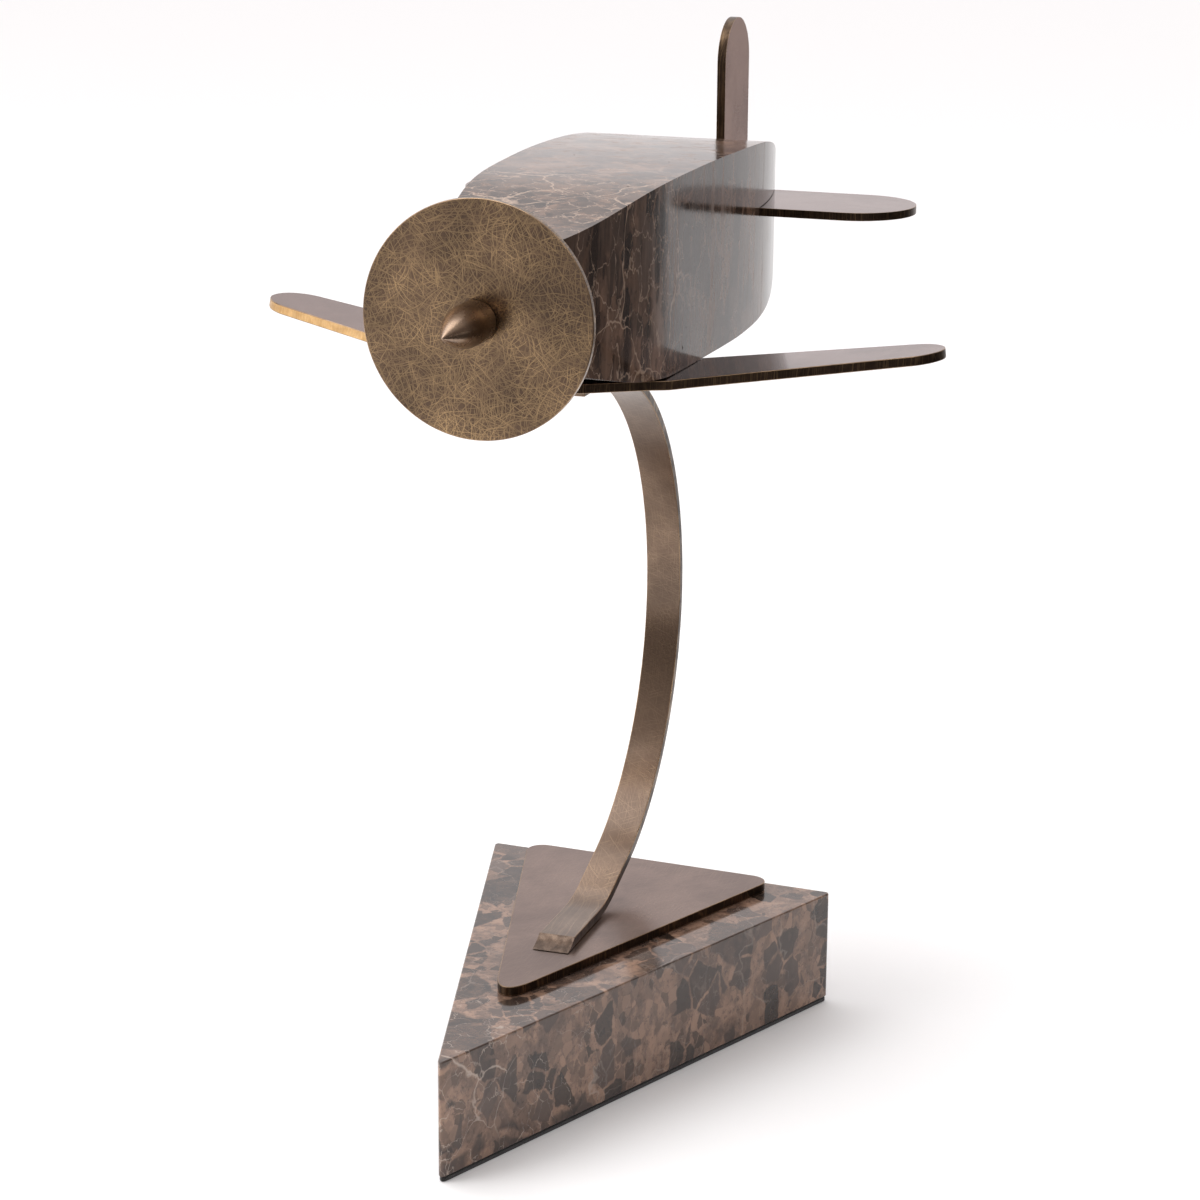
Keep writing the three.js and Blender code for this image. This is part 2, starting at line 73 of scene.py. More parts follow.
LOG = logging.getLogger("desk_aeroplane")
MM = 0.001
GAP = 0.3 * MM              # left between two pieces that touch
SHEET = 4 * MM              # thickness of the bar and of the wing
HOLE_DEPTH = 20 * MM        # cutters of the screw holes run well past the sheet
WING_SCREW_HOLE = 2.85 * MM
BODY = "sculpture"
PROPELLER_BODY = "propeller"
Colour = tuple[float, float, float]
Test = Callable[[Vector, Vector], bool]


class Pick(Enum):
    """What a selection is made of."""

    VERTS = "VERT"
    FACES = "FACE"


# ------------------------------------------------------------------------------------------ bench tools


def deselect_all() -> None:
    """Leaves nothing selected."""
    for obj in bpy.context.view_layer.objects:
        obj.select_set(False)


def activate(obj: bpy.types.Object) -> None:
    """Makes one object the only selected and the active one."""
    deselect_all()
    obj.select_set(True)
    bpy.context.view_layer.objects.active = obj


def start(name: str, primitive: Callable, **settings) -> bpy.types.Object:
    """Adds a primitive and puts its place into its mesh.

    Args:
        name: Name of the new piece.
        primitive: The operator that adds it.
        **settings: The operator's own settings.

    Returns:
        The new object, at the origin.
    """
    deselect_all()
    primitive(**settings)
    obj = bpy.context.active_object
    obj.name = name
    obj.data.name = name
    bpy.ops.object.transform_apply(location=True, rotation=True, scale=True)
    return obj


@contextmanager
def editing(obj: bpy.types.Object) -> Iterator[None]:
    """Opens an object for editing and closes it again."""
    activate(obj)
    bpy.ops.object.mode_set(mode="EDIT")
    try:
        yield
    finally:
        bpy.ops.object.mode_set(mode="OBJECT")


def pick(obj: bpy.types.Object, kind: Pick, test: Test) -> None:
    """Selects the verts or faces of an open object that pass a test.

    Args:
        obj: The object that is open for editing.
        kind: What is selected.
        test: Takes the middle and the normal and says whether to select.
    """
    bpy.ops.mesh.select_mode(type=kind.value)
    bpy.ops.mesh.select_all(action="DESELECT")
    mesh = bmesh.from_edit_mesh(obj.data)
    if kind is Pick.VERTS:
        items = [(v, v.co, v.normal) for v in mesh.verts]
    else:
        items = [(f, f.calc_center_median(), f.normal) for f in mesh.faces]
    for item, middle, normal in items:
        if test(middle, normal):
            item.select_set(True)
    mesh.select_flush_mode()
    bmesh.update_edit_mesh(obj.data)


def nudge(offset: Sequence[float]) -> None:
    """Moves the selection by an offset in metres."""
    bpy.ops.transform.translate(value=tuple(offset))


def place_corner(obj: bpy.types.Object, index: int, target: Vector) -> None:
    """Moves one corner of an open flat piece.

    Args:
        obj: The piece that is open for editing.
        index: Number of the corner.
        target: Where it goes, in metres.
    """
    mesh = bmesh.from_edit_mesh(obj.data)
    mesh.verts.ensure_lookup_table()
    here = mesh.verts[index].co.copy()
    pick(obj, Pick.VERTS, lambda co, _n: (co - here).length < 1e-8)
    nudge(target - here)


def extrude(offset: Sequence[float]) -> None:
    """Extrudes the selected faces by an offset in metres."""
    bpy.ops.mesh.extrude_region_move(TRANSFORM_OT_translate={"value": tuple(offset)})


def outward(obj: bpy.types.Object) -> None:
    """Merges doubles and turns all faces outwards."""
    with editing(obj):
        bpy.ops.mesh.select_all(action="SELECT")
        bpy.ops.mesh.remove_doubles(threshold=0.002 * MM)
        bpy.ops.mesh.normals_make_consistent(inside=False)


def modify(obj: bpy.types.Object, kind: str, **settings) -> None:
    """Adds a modifier and applies it.

    Args:
        obj: The piece.
        kind: Type of the modifier.
        **settings: Its settings.
    """
    activate(obj)
    modifier = obj.modifiers.new(kind.title(), kind)
    for key, value in settings.items():
        setattr(modifier, key, value)
    bpy.ops.object.modifier_apply(modifier=modifier.name)


def soften(obj: bpy.types.Object, width_mm: float, segments: int = 3, material: int = -1,
           angle: float = 40) -> None:
    """Rounds the arrises of a piece.

    Args:
        obj: The piece.
        width_mm: Width of the rounding.
        segments: Facets across the rounding.
        material: Material slot of the rounding, or -1 to keep that of the faces beside it.
        angle: Least angle, in degrees, of an arris that is rounded.
    """
    modify(obj, "BEVEL", width=width_mm * MM, segments=segments, limit_method="ANGLE",
           angle_limit=math.radians(angle), material=material, use_clamp_overlap=True, miter_outer="MITER_ARC")


def shade(obj: bpy.types.Object, angle: float = 35) -> None:
    """Shades a piece smooth, apart from its sharp edges, with flat faces kept flat.

    Args:
        obj: The piece.
        angle: Least angle of a sharp edge, in degrees.
    """
    activate(obj)
    bpy.ops.object.shade_smooth_by_angle(angle=math.radians(angle))
    modify(obj, "WEIGHTED_NORMAL", keep_sharp=True, weight=80)


def carve(obj: bpy.types.Object, cutters: Sequence[bpy.types.Object]) -> None:
    """Cuts each cutter out of a piece and throws the cutter away.

    Args:
        obj: The piece.
        cutters: What is cut out of it.
    """
    for cutter in cutters:
        modify(obj, "BOOLEAN", operation="DIFFERENCE", solver="EXACT", object=cutter)
        bpy.data.objects.remove(cutter, do_unlink=True)


def assign(obj: bpy.types.Object, slot: int, test: Test) -> None:
    """Gives the faces that pass a test the material of a slot.

    Args:
        obj: The piece.
        slot: Number of the material slot.
        test: Takes a face's middle and normal.
    """
    with editing(obj):
        pick(obj, Pick.FACES, test)
        obj.active_material_index = slot
        bpy.ops.object.material_slot_assign()


def box_cutter(low: Sequence[float], high: Sequence[float]) -> bpy.types.Object:
    """Box for cutting.

    Args:
        low: Its lowest corner, in metres.
        high: Its highest corner, in metres.

    Returns:
        The cutter.
    """
    size = [b - a for a, b in zip(low, high)]
    middle = [(a + b) / 2 for a, b in zip(low, high)]
    obj = start("cutter", bpy.ops.mesh.primitive_cube_add, size=1)
    with editing(obj):
        bpy.ops.mesh.select_all(action="SELECT")
        bpy.ops.transform.resize(value=size)
        nudge(middle)
    return obj


def rod_cutter(radius: float, middle: Sequence[float], length: float, turned: float = 0) -> bpy.types.Object:
    """Rod for cutting, upright or turned about X by an angle in degrees."""
    return start("cutter", bpy.ops.mesh.primitive_cylinder_add, vertices=48, radius=radius, depth=length,
                 location=tuple(middle), rotation=(math.radians(turned), 0, 0))


def outline(name: str, corners: Sequence[tuple[Vector, float]], segments: int = 12) -> bpy.types.Object:
    """Flat face through corners, each rounded to its own radius.

    Args:
        name: Name of the piece.
        corners: Each corner's place, in metres, and its radius, in metres.
        segments: Facets round each corner.

    Returns:
        The flat piece.
    """
    obj = start(name, bpy.ops.mesh.primitive_circle_add, vertices=len(corners), radius=0.01, fill_type="NGON")
    with editing(obj):
        for index, (corner, _) in enumerate(corners):
            place_corner(obj, index, corner)
        for index, (corner, radius) in enumerate(corners):
            if radius <= 0:
                continue
            back = (corners[index - 1][0] - corner).normalized()
            on = (corners[(index + 1) % len(corners)][0] - corner).normalized()
            reach = radius / math.tan(back.angle(on) / 2)
            pick(obj, Pick.VERTS, lambda co, _n, corner=corner: (co - corner).length < 1e-6)
            bpy.ops.mesh.bevel(offset_type="OFFSET", offset=reach, segments=segments, affect="VERTICES",
                               clamp_overlap=False)
    return obj


def thicken(obj: bpy.types.Object, offset: Sequence[float]) -> None:
    """Extrudes a flat piece into a plate.

    Args:
        obj: The flat piece.
        offset: The plate's thickness and direction, in metres.
    """
    with editing(obj):
        bpy.ops.mesh.select_all(action="SELECT")
        extrude(offset)
    outward(obj)


# ------------------------------------------------------------------------------------------ shader tools


class Sheet:
    """A node tree with short ways to add the nodes that finishes are made of."""

    def __init__(self, tree: bpy.types.NodeTree) -> None:
        """Works on a node tree."""
        self.tree = tree

    def node(self, kind: str, inputs: dict | None = None, **props) -> bpy.types.Node:
        """Adds a node.

        Args:
            kind: Its type, without the ShaderNode prefix.
            inputs: Values or sockets for its inputs, by name or number.
            **props: Its own properties.

        Returns:
            The node.
        """
        made = self.tree.nodes.new("ShaderNode" + kind)
        for key, value in props.items():
            setattr(made, key, value)
        for key, value in (inputs or {}).items():
            self.feed(made.inputs[key], value)
        return made

    def feed(self, socket: bpy.types.NodeSocket, value: object) -> None:
        """Links a socket to an input, or sets the input's value.

        Args:
            socket: The input.
            value: A socket, a number, a vector or a colour.
        """
        if isinstance(value, bpy.types.NodeSocket):
            self.tree.links.new(value, socket)
        elif isinstance(value, tuple) and len(value) == 3 and socket.type == "RGBA":
            socket.default_value = (*value, 1)
        else:
            socket.default_value = value

    def math(self, operation: str, a: object, b: object = 0.0, clamp: bool = False) -> bpy.types.NodeSocket:
        """Result of an arithmetic node."""
        return self.node("Math", {0: a, 1: b}, operation=operation, use_clamp=clamp).outputs[0]

    def times(self, a: object, b: object, clamp: bool = False) -> bpy.types.NodeSocket:
        """Product of two values."""
        return self.math("MULTIPLY", a, b, clamp)

    def plus(self, a: object, b: object, clamp: bool = False) -> bpy.types.NodeSocket:
        """Sum of two values."""
        return self.math("ADD", a, b, clamp)

    def minus(self, a: object, b: object, clamp: bool = False) -> bpy.types.NodeSocket:
        """Difference of two values."""
        return self.math("SUBTRACT", a, b, clamp)

    def vector(self, operation: str, a: object, b: object) -> bpy.types.NodeSocket:
        """Result of a vector arithmetic node."""
        key = 3 if operation == "SCALE" else 1
        return self.node("VectorMath", {0: a, key: b}, operation=operation).outputs[0]

    def mix(self, share: object, a: object, b: object) -> bpy.types.NodeSocket:
        """Mix of two colours.

        Args:
            share: Share of the second colour.
            a: The first colour.
            b: The second colour.

        Returns:
            The mixed colour.
        """
        made = self.tree.nodes.new("ShaderNodeMix")
        made.data_type = "RGBA"
        for socket, value in ((made.inputs[0], share), (made.inputs[6], a), (made.inputs[7], b)):
            self.feed(socket, value)
        return made.outputs[2]

    def span(self, value: object, low: float, high: float, to_low: float = 0.0,
             to_high: float = 1.0) -> bpy.types.NodeSocket:
        """Value carried smoothly from one span to another, and held at its ends."""
        return self.node("MapRange", {0: value, 1: low, 2: high, 3: to_low, 4: to_high},
                         interpolation_type="SMOOTHSTEP").outputs[0]

    def noise(self, vector: object, scale: object, detail: float = 3.0, rough: float = 0.55,
              distortion: float = 0.0, colour: bool = False) -> bpy.types.NodeSocket:
        """Noise value, or noise colour.

        Args:
            vector: Where it is read.
            scale: Its scale, in waves to the metre.
            detail: How many finer layers it has.
            rough: Strength of the finer layers.
            distortion: How far it is stirred.
            colour: Whether three values are wanted.

        Returns:
            The value.
        """
        made = self.node("TexNoise", {"Vector": vector, "Scale": scale, "Detail": detail, "Roughness": rough,
                                      "Distortion": distortion})
        return made.outputs["Color" if colour else "Fac"]

    def cells(self, vector: object, scale: object, feature: str = "F1", flat: bool = False) -> bpy.types.Node:
        """Cell pattern node."""
        return self.node("TexVoronoi", {"Vector": vector, "Scale": scale}, feature=feature,
                         voronoi_dimensions="2D" if flat else "3D")

    def warped(self, vector: object, scale: object, amount: object) -> bpy.types.NodeSocket:
        """Vector pushed about by noise."""
        push = self.vector("SUBTRACT", self.noise(vector, scale, 2.0, colour=True), (0.5, 0.5, 0.5))
        return self.vector("ADD", vector, self.vector("SCALE", push, amount))


class GroupSheet(Sheet):
    """A shared effect: a shader node group with named inputs and outputs."""

    def __init__(self, name: str, inputs: dict[str, tuple[str, object]], outputs: dict[str, str]) -> None:
        """Makes the group and its sockets.

        Args:
            name: Name of the group.
            inputs: Socket type and default value of each input.
            outputs: Socket type of each output.
        """
        tree = bpy.data.node_groups.new(name, "ShaderNodeTree")
        super().__init__(tree)
        for label, (kind, default) in inputs.items():
            socket = tree.interface.new_socket(name=label, in_out="INPUT", socket_type="NodeSocket" + kind)
            if default is not None:
                socket.default_value = default
        for label, kind in outputs.items():
            tree.interface.new_socket(name=label, in_out="OUTPUT", socket_type="NodeSocket" + kind)
        self.inputs = tree.nodes.new("NodeGroupInput").outputs
        self.results = tree.nodes.new("NodeGroupOutput").inputs

    def give(self, label: str, value: bpy.types.NodeSocket) -> None:
        """Puts a value out of the group."""
        self.tree.links.new(value, self.results[label])


def breccia_group() -> bpy.types.NodeTree:
    """Broken stone: angular clasts of one size in a ground mass.

    Returns:
        Group that puts out the clast mask and the clast's own shade.
    """
    g = GroupSheet(
        "breccia",
        {"Vector": ("Vector", None), "Size": ("Float", 0.02), "Warp": ("Float", 0.3), "Share": ("Float", 0.5)},
        {"Clast": "Float", "Shade": "Float"},
    )
    scale = g.math("DIVIDE", 1.0, g.inputs["Size"])
    push = g.times(g.inputs["Warp"], g.inputs["Size"])
    place = g.warped(g.inputs["Vector"], g.times(scale, 0.9), push)
    place = g.warped(place, g.times(scale, 5.0), g.times(push, 0.22))
    edge = g.cells(place, scale, "DISTANCE_TO_EDGE").outputs["Distance"]
    tint = g.node("SeparateColor", {0: g.cells(place, scale).outputs["Color"]})
    chosen = g.math("LESS_THAN", tint.outputs[0], g.inputs["Share"])
    g.give("Clast", g.times(chosen, g.span(edge, 0.02, 0.075)))
    g.give("Shade", tint.outputs[1])
    return g.tree


def vein_group() -> bpy.types.NodeTree:
    """Thin broken veins along the seams of a warped cell pattern.

    Returns:
        Group that puts out the vein mask.
    """
    g = GroupSheet(
        "veins",
        {"Vector": ("Vector", None), "Size": ("Float", 0.03), "Width": ("Float", 0.02), "Warp": ("Float", 0.4),
         "Share": ("Float", 0.5)},
        {"Vein": "Float"},
    )
    scale = g.math("DIVIDE", 1.0, g.inputs["Size"])
    push = g.times(g.inputs["Warp"], g.inputs["Size"])
    place = g.warped(g.inputs["Vector"], g.times(scale, 1.3), push)
    place = g.warped(place, g.times(scale, 7.0), g.times(push, 0.2))
    edge = g.cells(place, scale, "DISTANCE_TO_EDGE").outputs["Distance"]
    wander = g.noise(g.inputs["Vector"], g.times(scale, 1.7), 3.0)
    width = g.times(g.inputs["Width"], g.span(wander, 0.3, 0.75, 0.2, 1.8))
    line = g.minus(1.0, g.math("DIVIDE", edge, width), clamp=True)
    patch = g.noise(g.inputs["Vector"], g.times(scale, 0.8), 2.0)
    low = g.minus(0.95, g.inputs["Share"])
    there = g.times(g.minus(patch, g.times(low, 0.8)), 9.0, clamp=True)
    g.give("Vein", g.times(line, there))
    return g.tree


def pit_group() -> bpy.types.NodeTree:
    """Small open pits in polished stone.

    Returns:
        Group that puts out the pit mask.
    """
    g = GroupSheet(
        "pits",
        {"Vector": ("Vector", None), "Size": ("Float", 0.006), "Radius": ("Float", 0.12), "Share": ("Float", 0.3)},
        {"Pit": "Float"},
    )
    scale = g.math("DIVIDE", 1.0, g.inputs["Size"])
    place = g.warped(g.inputs["Vector"], g.times(scale, 3.0), g.times(g.inputs["Size"], 0.22))
    found = g.cells(place, scale)
    tint = g.node("SeparateColor", {0: found.outputs["Color"]})
    chosen = g.math("LESS_THAN", tint.outputs[0], g.inputs["Share"])
    radius = g.times(g.inputs["Radius"], g.plus(0.4, tint.outputs[1]))
    dot = g.times(g.minus(radius, found.outputs["Distance"]), 25.0, clamp=True)
    g.give("Pit", g.times(chosen, dot))
    return g.tree


def scratch_group() -> bpy.types.NodeTree:
    """One layer of fine scratches, all about parallel, each of its own length and strength.

    The layer lies over the mask of the layer under it. The tiny share of that mask in the bend makes the
    layers be worked out one after another, which keeps a pile of many layers within the renderer's memory.

    Returns:
        Group that puts out the scratch mask. The vector's first two parts lie in the scratched plane.
    """
    g = GroupSheet(
        "scratch_layer",
        {"Vector": ("Vector", None), "Angle": ("Float", 0.0), "Spacing": ("Float", 0.001),
         "Length": ("Float", 0.02), "Width": ("Float", 0.05), "Share": ("Float", 0.7), "Curve": ("Float", 0.004),
         "Under": ("Float", 0.0)},
        {"Scratch": "Float"},
    )
    bend = g.plus(g.inputs["Curve"], g.times(g.inputs["Under"], 1e-7))
    bent = g.warped(g.inputs["Vector"], 28.0, bend)
    turned = g.node("VectorRotate", {"Vector": bent, "Angle": g.inputs["Angle"]}, rotation_type="Z_AXIS").outputs[0]
    parts = g.node("SeparateXYZ", {0: turned})
    across = g.math("DIVIDE", parts.outputs[0], g.inputs["Spacing"])
    along = g.math("DIVIDE", parts.outputs[1], g.inputs["Length"])
    place = g.node("CombineXYZ", {0: across, 1: along}).outputs[0]
    found = g.cells(place, 1.0, flat=True)
    offset = g.node("SeparateXYZ", {0: g.vector("SUBTRACT", place, found.outputs["Position"])})
    tint = g.node("SeparateColor", {0: found.outputs["Color"]})
    line = g.minus(1.0, g.math("DIVIDE", g.math("ABSOLUTE", offset.outputs[0]), g.inputs["Width"]),
                  clamp=True)
    reach = g.span(g.math("ABSOLUTE", offset.outputs[1]), 0.2, 0.5, 1.0, 0.0)
    chosen = g.math("LESS_THAN", tint.outputs[0], g.inputs["Share"])
    strength = g.times(chosen, g.plus(0.25, g.times(tint.outputs[1], 0.75)))
    mark = g.times(g.times(line, reach), strength)
    g.give("Scratch", g.math("MAXIMUM", mark, g.inputs["Under"]))
    return g.tree


def patina_group() -> bpy.types.NodeTree:
    """Uneven darkening of old bronze, from broad clouds to fine grain.

    Returns:
        Group that puts out the patina mask and its fine grain.
    """
    g = GroupSheet(
        "patina",
        {"Vector": ("Vector", None), "Cloud Scale": ("Float", 40.0), "Grain Scale": ("Float", 900.0)},
        {"Cloud": "Float", "Grain": "Float"},
    )
    cloud = g.noise(g.inputs["Vector"], g.inputs["Cloud Scale"], 5.0, 0.6, 0.3)
    g.give("Cloud", g.span(cloud, 0.32, 0.68))
    g.give("Grain", g.noise(g.inputs["Vector"], g.inputs["Grain Scale"], 3.0, 0.7))
    return g.tree


class Effects:
    """The shared effects, each built once."""

    def __init__(self) -> None:
        """Builds every group."""
        self.breccia = breccia_group()
        self.veins = vein_group()
        self.pits = pit_group()
        self.scratch = scratch_group()
        self.patina = patina_group()


class Finish(Sheet):
    """A material that is being made."""

    def __init__(self, name: str, effects: Effects) -> None:
        """Starts a material with one shader, read in the piece's own place."""
        self.material = bpy.data.materials.new(name)
        self.material.use_nodes = True
        super().__init__(self.material.node_tree)
        self.effects = effects
        self.shader = self.tree.nodes["Principled BSDF"]
        self.place = self.node("TexCoord").outputs["Object"]

    def effect(self, group: bpy.types.NodeTree, **values) -> bpy.types.bpy_prop_collection:
        """Places a shared effect.

        Args:
            group: The effect.
            **values: Its inputs by name, with underscores for spaces.

        Returns:
            The outputs of the placed group.
        """
        made = self.tree.nodes.new("ShaderNodeGroup")
        made.node_tree = group
        for key, value in values.items():
            self.feed(made.inputs[key.replace("_", " ")], value)
        return made.outputs

    def surface(self, **values) -> None:
        """Feeds the shader's inputs by name (underscores for spaces)."""
        for key, value in values.items():
            self.feed(self.shader.inputs[key.replace("_", " ")], value)

    def relief(self, height: bpy.types.NodeSocket, strength: float, distance: float) -> None:
        """Raises the surface by a height map."""
        bump = self.node("Bump", {"Strength": strength, "Distance": distance, "Height": height})
        self.feed(self.shader.inputs["Normal"], bump.outputs["Normal"])

    def mapped(self, move: Sequence[float] = (0, 0, 0), turn: Sequence[float] = (0, 0, 0),
               scale: Sequence[float] = (1, 1, 1)) -> bpy.types.NodeSocket:
        """The piece's own place, changed for a texture.

        Args:
            move: How far it is moved, in metres.
            turn: How far it is turned about each axis, in degrees.
            scale: How much it is stretched along each axis.

        Returns:
            The changed place.
        """
        turn_radians = tuple(math.radians(a) for a in turn)
        return self.node("Mapping", {"Vector": self.place, "Location": tuple(move), "Rotation": turn_radians,
                                     "Scale": tuple(scale)}).outputs[0]


# ------------------------------------------------------------------------------------------ finishes


@dataclass(frozen=True)
class MarbleFinish:
    """Polished brown breccia marble, with more veins towards its front end."""

    name: str
    ground: Colour
    ground_warm: Colour
    clast: Colour
    clast_light: Colour
    vein: Colour
    large: float
    small: float
    large_share: float
    small_share: float
    vein_share: float
    vein_strength: float
    hair: float
    vein_rest: float
    front: tuple[float, float]
    stretch: tuple[float, float, float]
    turn: tuple[float, float, float]
    move: tuple[float, float, float]
    roughness: float
    pit_share: float
    streaks: float
    reflect: float

    def make(self, effects: Effects) -> bpy.types.Material:
        """Builds the material.

        Args:
            effects: The shared effects.

        Returns:
            The material.
        """
        f = Finish(self.name, effects)
        bed = f.mapped(self.move, self.turn, self.stretch)
        along = f.node("SeparateXYZ", {0: f.place}).outputs[1]
        ahead = f.span(along, *self.front, 1.0, 0.0)
        share = f.times(self.large_share, f.plus(0.55, f.times(ahead, 0.45)))
        big = f.effect(effects.breccia, Vector=bed, Size=self.large, Warp=0.5, Share=share)
        shifted = f.vector("ADD", bed, (0.37, 0.21, 0.53))
        small = f.effect(effects.breccia, Vector=shifted, Size=self.small, Warp=0.6, Share=self.small_share)
        cloud = f.span(f.noise(bed, 38.0, 6.0, 0.68, 0.8), 0.34, 0.66)
        grain = f.noise(bed, 520.0, 5.0, 0.75)
        fine = f.noise(bed, 170.0, 4.0, 0.65)
        ground = f.mix(cloud, self.ground, self.ground_warm)
        ground = f.mix(f.span(fine, 0.42, 0.64, 0.0, 0.6), ground, self.clast_light)
        ground = f.mix(f.span(grain, 0.5, 0.7, 0.0, 0.65), ground, self.clast)
        light = f.mix(big["Shade"], self.clast, self.clast_light)
        light = f.mix(f.span(fine, 0.42, 0.66, 0.0, 0.5), light, self.ground)
        light = f.mix(f.span(grain, 0.55, 0.72, 0.0, 0.35), light, self.ground_warm)
        small_light = f.mix(small["Shade"], self.clast, self.clast_light)
        tiny = f.effect(effects.breccia, Vector=bed, Size=self.small * 0.4, Warp=0.7, Share=self.small_share)
        tiny_light = f.mix(tiny["Shade"], self.clast, self.ground_warm)
        ground = f.mix(f.times(tiny["Clast"], 0.8), ground, tiny_light)
        stone = f.mix(f.times(small["Clast"], 0.85), ground, small_light)
        stone = f.mix(f.times(big["Clast"], 0.92), stone, light)
        strands = f.noise(f.vector("MULTIPLY", bed, (1.0, 1.0, 0.14)), 150.0, 5.0, 0.65)
        stone = f.mix(f.span(strands, 0.5, 0.68, 0.0, self.streaks), stone, self.ground_warm)
        stone = f.mix(f.span(strands, 0.34, 0.48, self.streaks, 0.0), stone, self.clast)
        broad = f.effect(effects.veins, Vector=bed, Size=self.large * 1.5, Width=0.013, Warp=0.6,
                         Share=self.vein_share)
        hair = f.effect(effects.veins, Vector=shifted, Size=self.large * 0.42, Width=self.hair, Warp=1.0,
                        Share=self.vein_share)
        vein = f.math("MAXIMUM", f.times(broad["Vein"], 0.9), f.times(hair["Vein"], 0.7))
        reach = f.plus(self.vein_rest, f.times(ahead, 1 - self.vein_rest))
        stone = f.mix(f.times(f.times(vein, reach), self.vein_strength), stone, self.vein)
        pits = f.effect(effects.pits, Vector=f.vector("MULTIPLY", f.place, (1.0, 1.0, 0.55)), Size=0.0065,
                        Radius=0.07, Share=self.pit_share)
        stone = f.mix(f.times(pits["Pit"], 0.85), stone, (0.012, 0.009, 0.008))
        polish = f.span(f.noise(bed, 60.0, 3.0), 0.3, 0.7, self.roughness * 0.8, self.roughness * 1.3)
        worn = f.span(strands, 0.5, 0.7, 0.0, self.streaks * 0.16)
        rough = f.plus(f.plus(polish, worn), f.times(pits["Pit"], 0.6), clamp=True)
        f.surface(Base_Color=stone, Roughness=rough, IOR=1.5, Specular_IOR_Level=self.reflect)
        ripple = f.plus(f.times(f.noise(bed, 26.0, 3.0), 0.9), f.times(grain, 0.015))
        ripple = f.plus(ripple, f.times(strands, 0.03))
        f.relief(f.minus(ripple, f.times(pits["Pit"], 0.8)), 0.16, 0.0006)
        return f.material


@dataclass(frozen=True)
class BronzeFinish:
    """Antique bronze: a satin face with patina and scratches, under clear lacquer."""

    name: str
    dark: Colour
    mid: Colour
    bright: Colour
    roughness: float
    scratch_layers: int
    scratch_strength: float
    spacing: float
    length: float
    scratch_width: float = 0.11
    turn: tuple[float, float, float] = (0, 0, 0)
    curve: float = 0.004
    cloud_scale: float = 34.0
    spread: float = 180.0
    coat: float = 0.0
    coat_roughness: float = 0.12
    grazing: Colour = (1.0, 1.0, 1.0)

    def make(self, effects: Effects) -> bpy.types.Material:
        """Builds the material.

        Args:
            effects: The shared effects.

        Returns:
            The material.
        """
        f = Finish(self.name, effects)
        face = f.mapped(turn=self.turn)
        patina = f.effect(effects.patina, Vector=face, Cloud_Scale=self.cloud_scale, Grain_Scale=1100.0)
        metal = f.mix(patina["Cloud"], self.dark, self.mid)
        metal = f.mix(f.span(patina["Grain"], 0.35, 0.7, 0.0, 0.45), metal, self.dark)
        scratches = 0.0
        for layer in range(self.scratch_layers):
            angle = math.radians(self.spread * (layer + 0.37 * (layer % 3)) / self.scratch_layers)
            size = 0.75 + 0.55 * (layer % 4) / 3
            place = f.vector("ADD", face, (0.113 * layer, 0.071 * layer, 0))
            scratches = f.effect(effects.scratch, Vector=place, Angle=angle, Spacing=self.spacing * size,
                                 Length=self.length * size, Width=self.scratch_width / size, Share=0.75,
                                 Curve=self.curve, Under=scratches)["Scratch"]
        wear = f.span(f.noise(face, self.cloud_scale, 5.0, 0.65), 0.34, 0.64, 0.5, 1.0)
        mark = f.times(f.times(scratches, wear), self.scratch_strength, clamp=True)
        metal = f.mix(mark, metal, self.bright)
        rough = f.span(patina["Cloud"], 0.0, 1.0, self.roughness * 1.12, self.roughness * 0.9)
        rough = f.minus(rough, f.times(mark, 0.12), clamp=True)
        f.surface(Base_Color=metal, Metallic=1.0, Roughness=rough, Coat_Weight=self.coat,
                  Coat_Roughness=self.coat_roughness, Specular_Tint=self.grazing)
        height = f.plus(f.times(patina["Grain"], 0.25), f.times(mark, -0.6))
        f.relief(height, 0.25, 0.0001)
        return f.material


@dataclass(frozen=True)
class PlainMetalFinish:
    """Plated or turned metal of the fasteners, with fine turning marks and a few dull patches."""

    name: str
    light: Colour
    dull: Colour
    roughness: float

    def make(self, effects: Effects) -> bpy.types.Material:
        """Builds the material.

        Args:
            effects: The shared effects.

        Returns:
            The material.
        """
        f = Finish(self.name, effects)
        patina = f.effect(effects.patina, Vector=f.place, Cloud_Scale=160.0, Grain_Scale=1500.0)
        marks = f.effect(effects.scratch, Vector=f.place, Angle=0.6, Spacing=0.0005, Length=0.006, Width=0.12,
                         Share=0.6, Curve=0.001)
        metal = f.mix(f.times(patina["Cloud"], 0.6), self.light, self.dull)
        f.surface(Base_Color=f.mix(f.times(marks["Scratch"], 0.4), metal, self.light), Metallic=1.0,
                  Roughness=f.span(patina["Grain"], 0.2, 0.8, self.roughness * 0.8, self.roughness * 1.25))
        f.relief(marks["Scratch"], 0.2, 0.0001)
        return f.material


@dataclass(frozen=True)
class FeltFinish:
    """Pressed black felt."""

    name: str
    dark: Colour
    light: Colour

    def make(self, effects: Effects) -> bpy.types.Material:
        """Builds the material.

        Args:
            effects: The shared effects.

        Returns:
            The material.
        """
        f = Finish(self.name, effects)
        fibre = f.noise(f.mapped(scale=(1, 1, 2.2)), 1900.0, 5.0, 0.75, 1.4)
        clump = f.noise(f.place, 260.0, 4.0, 0.6)
        tone = f.times(f.span(fibre, 0.35, 0.75), f.span(clump, 0.3, 0.7, 0.5, 1.0))
        f.surface(Base_Color=f.mix(tone, self.dark, self.light), Roughness=0.95, Sheen_Weight=0.35)
        f.relief(fibre, 0.7, 0.0004)
        return f.material


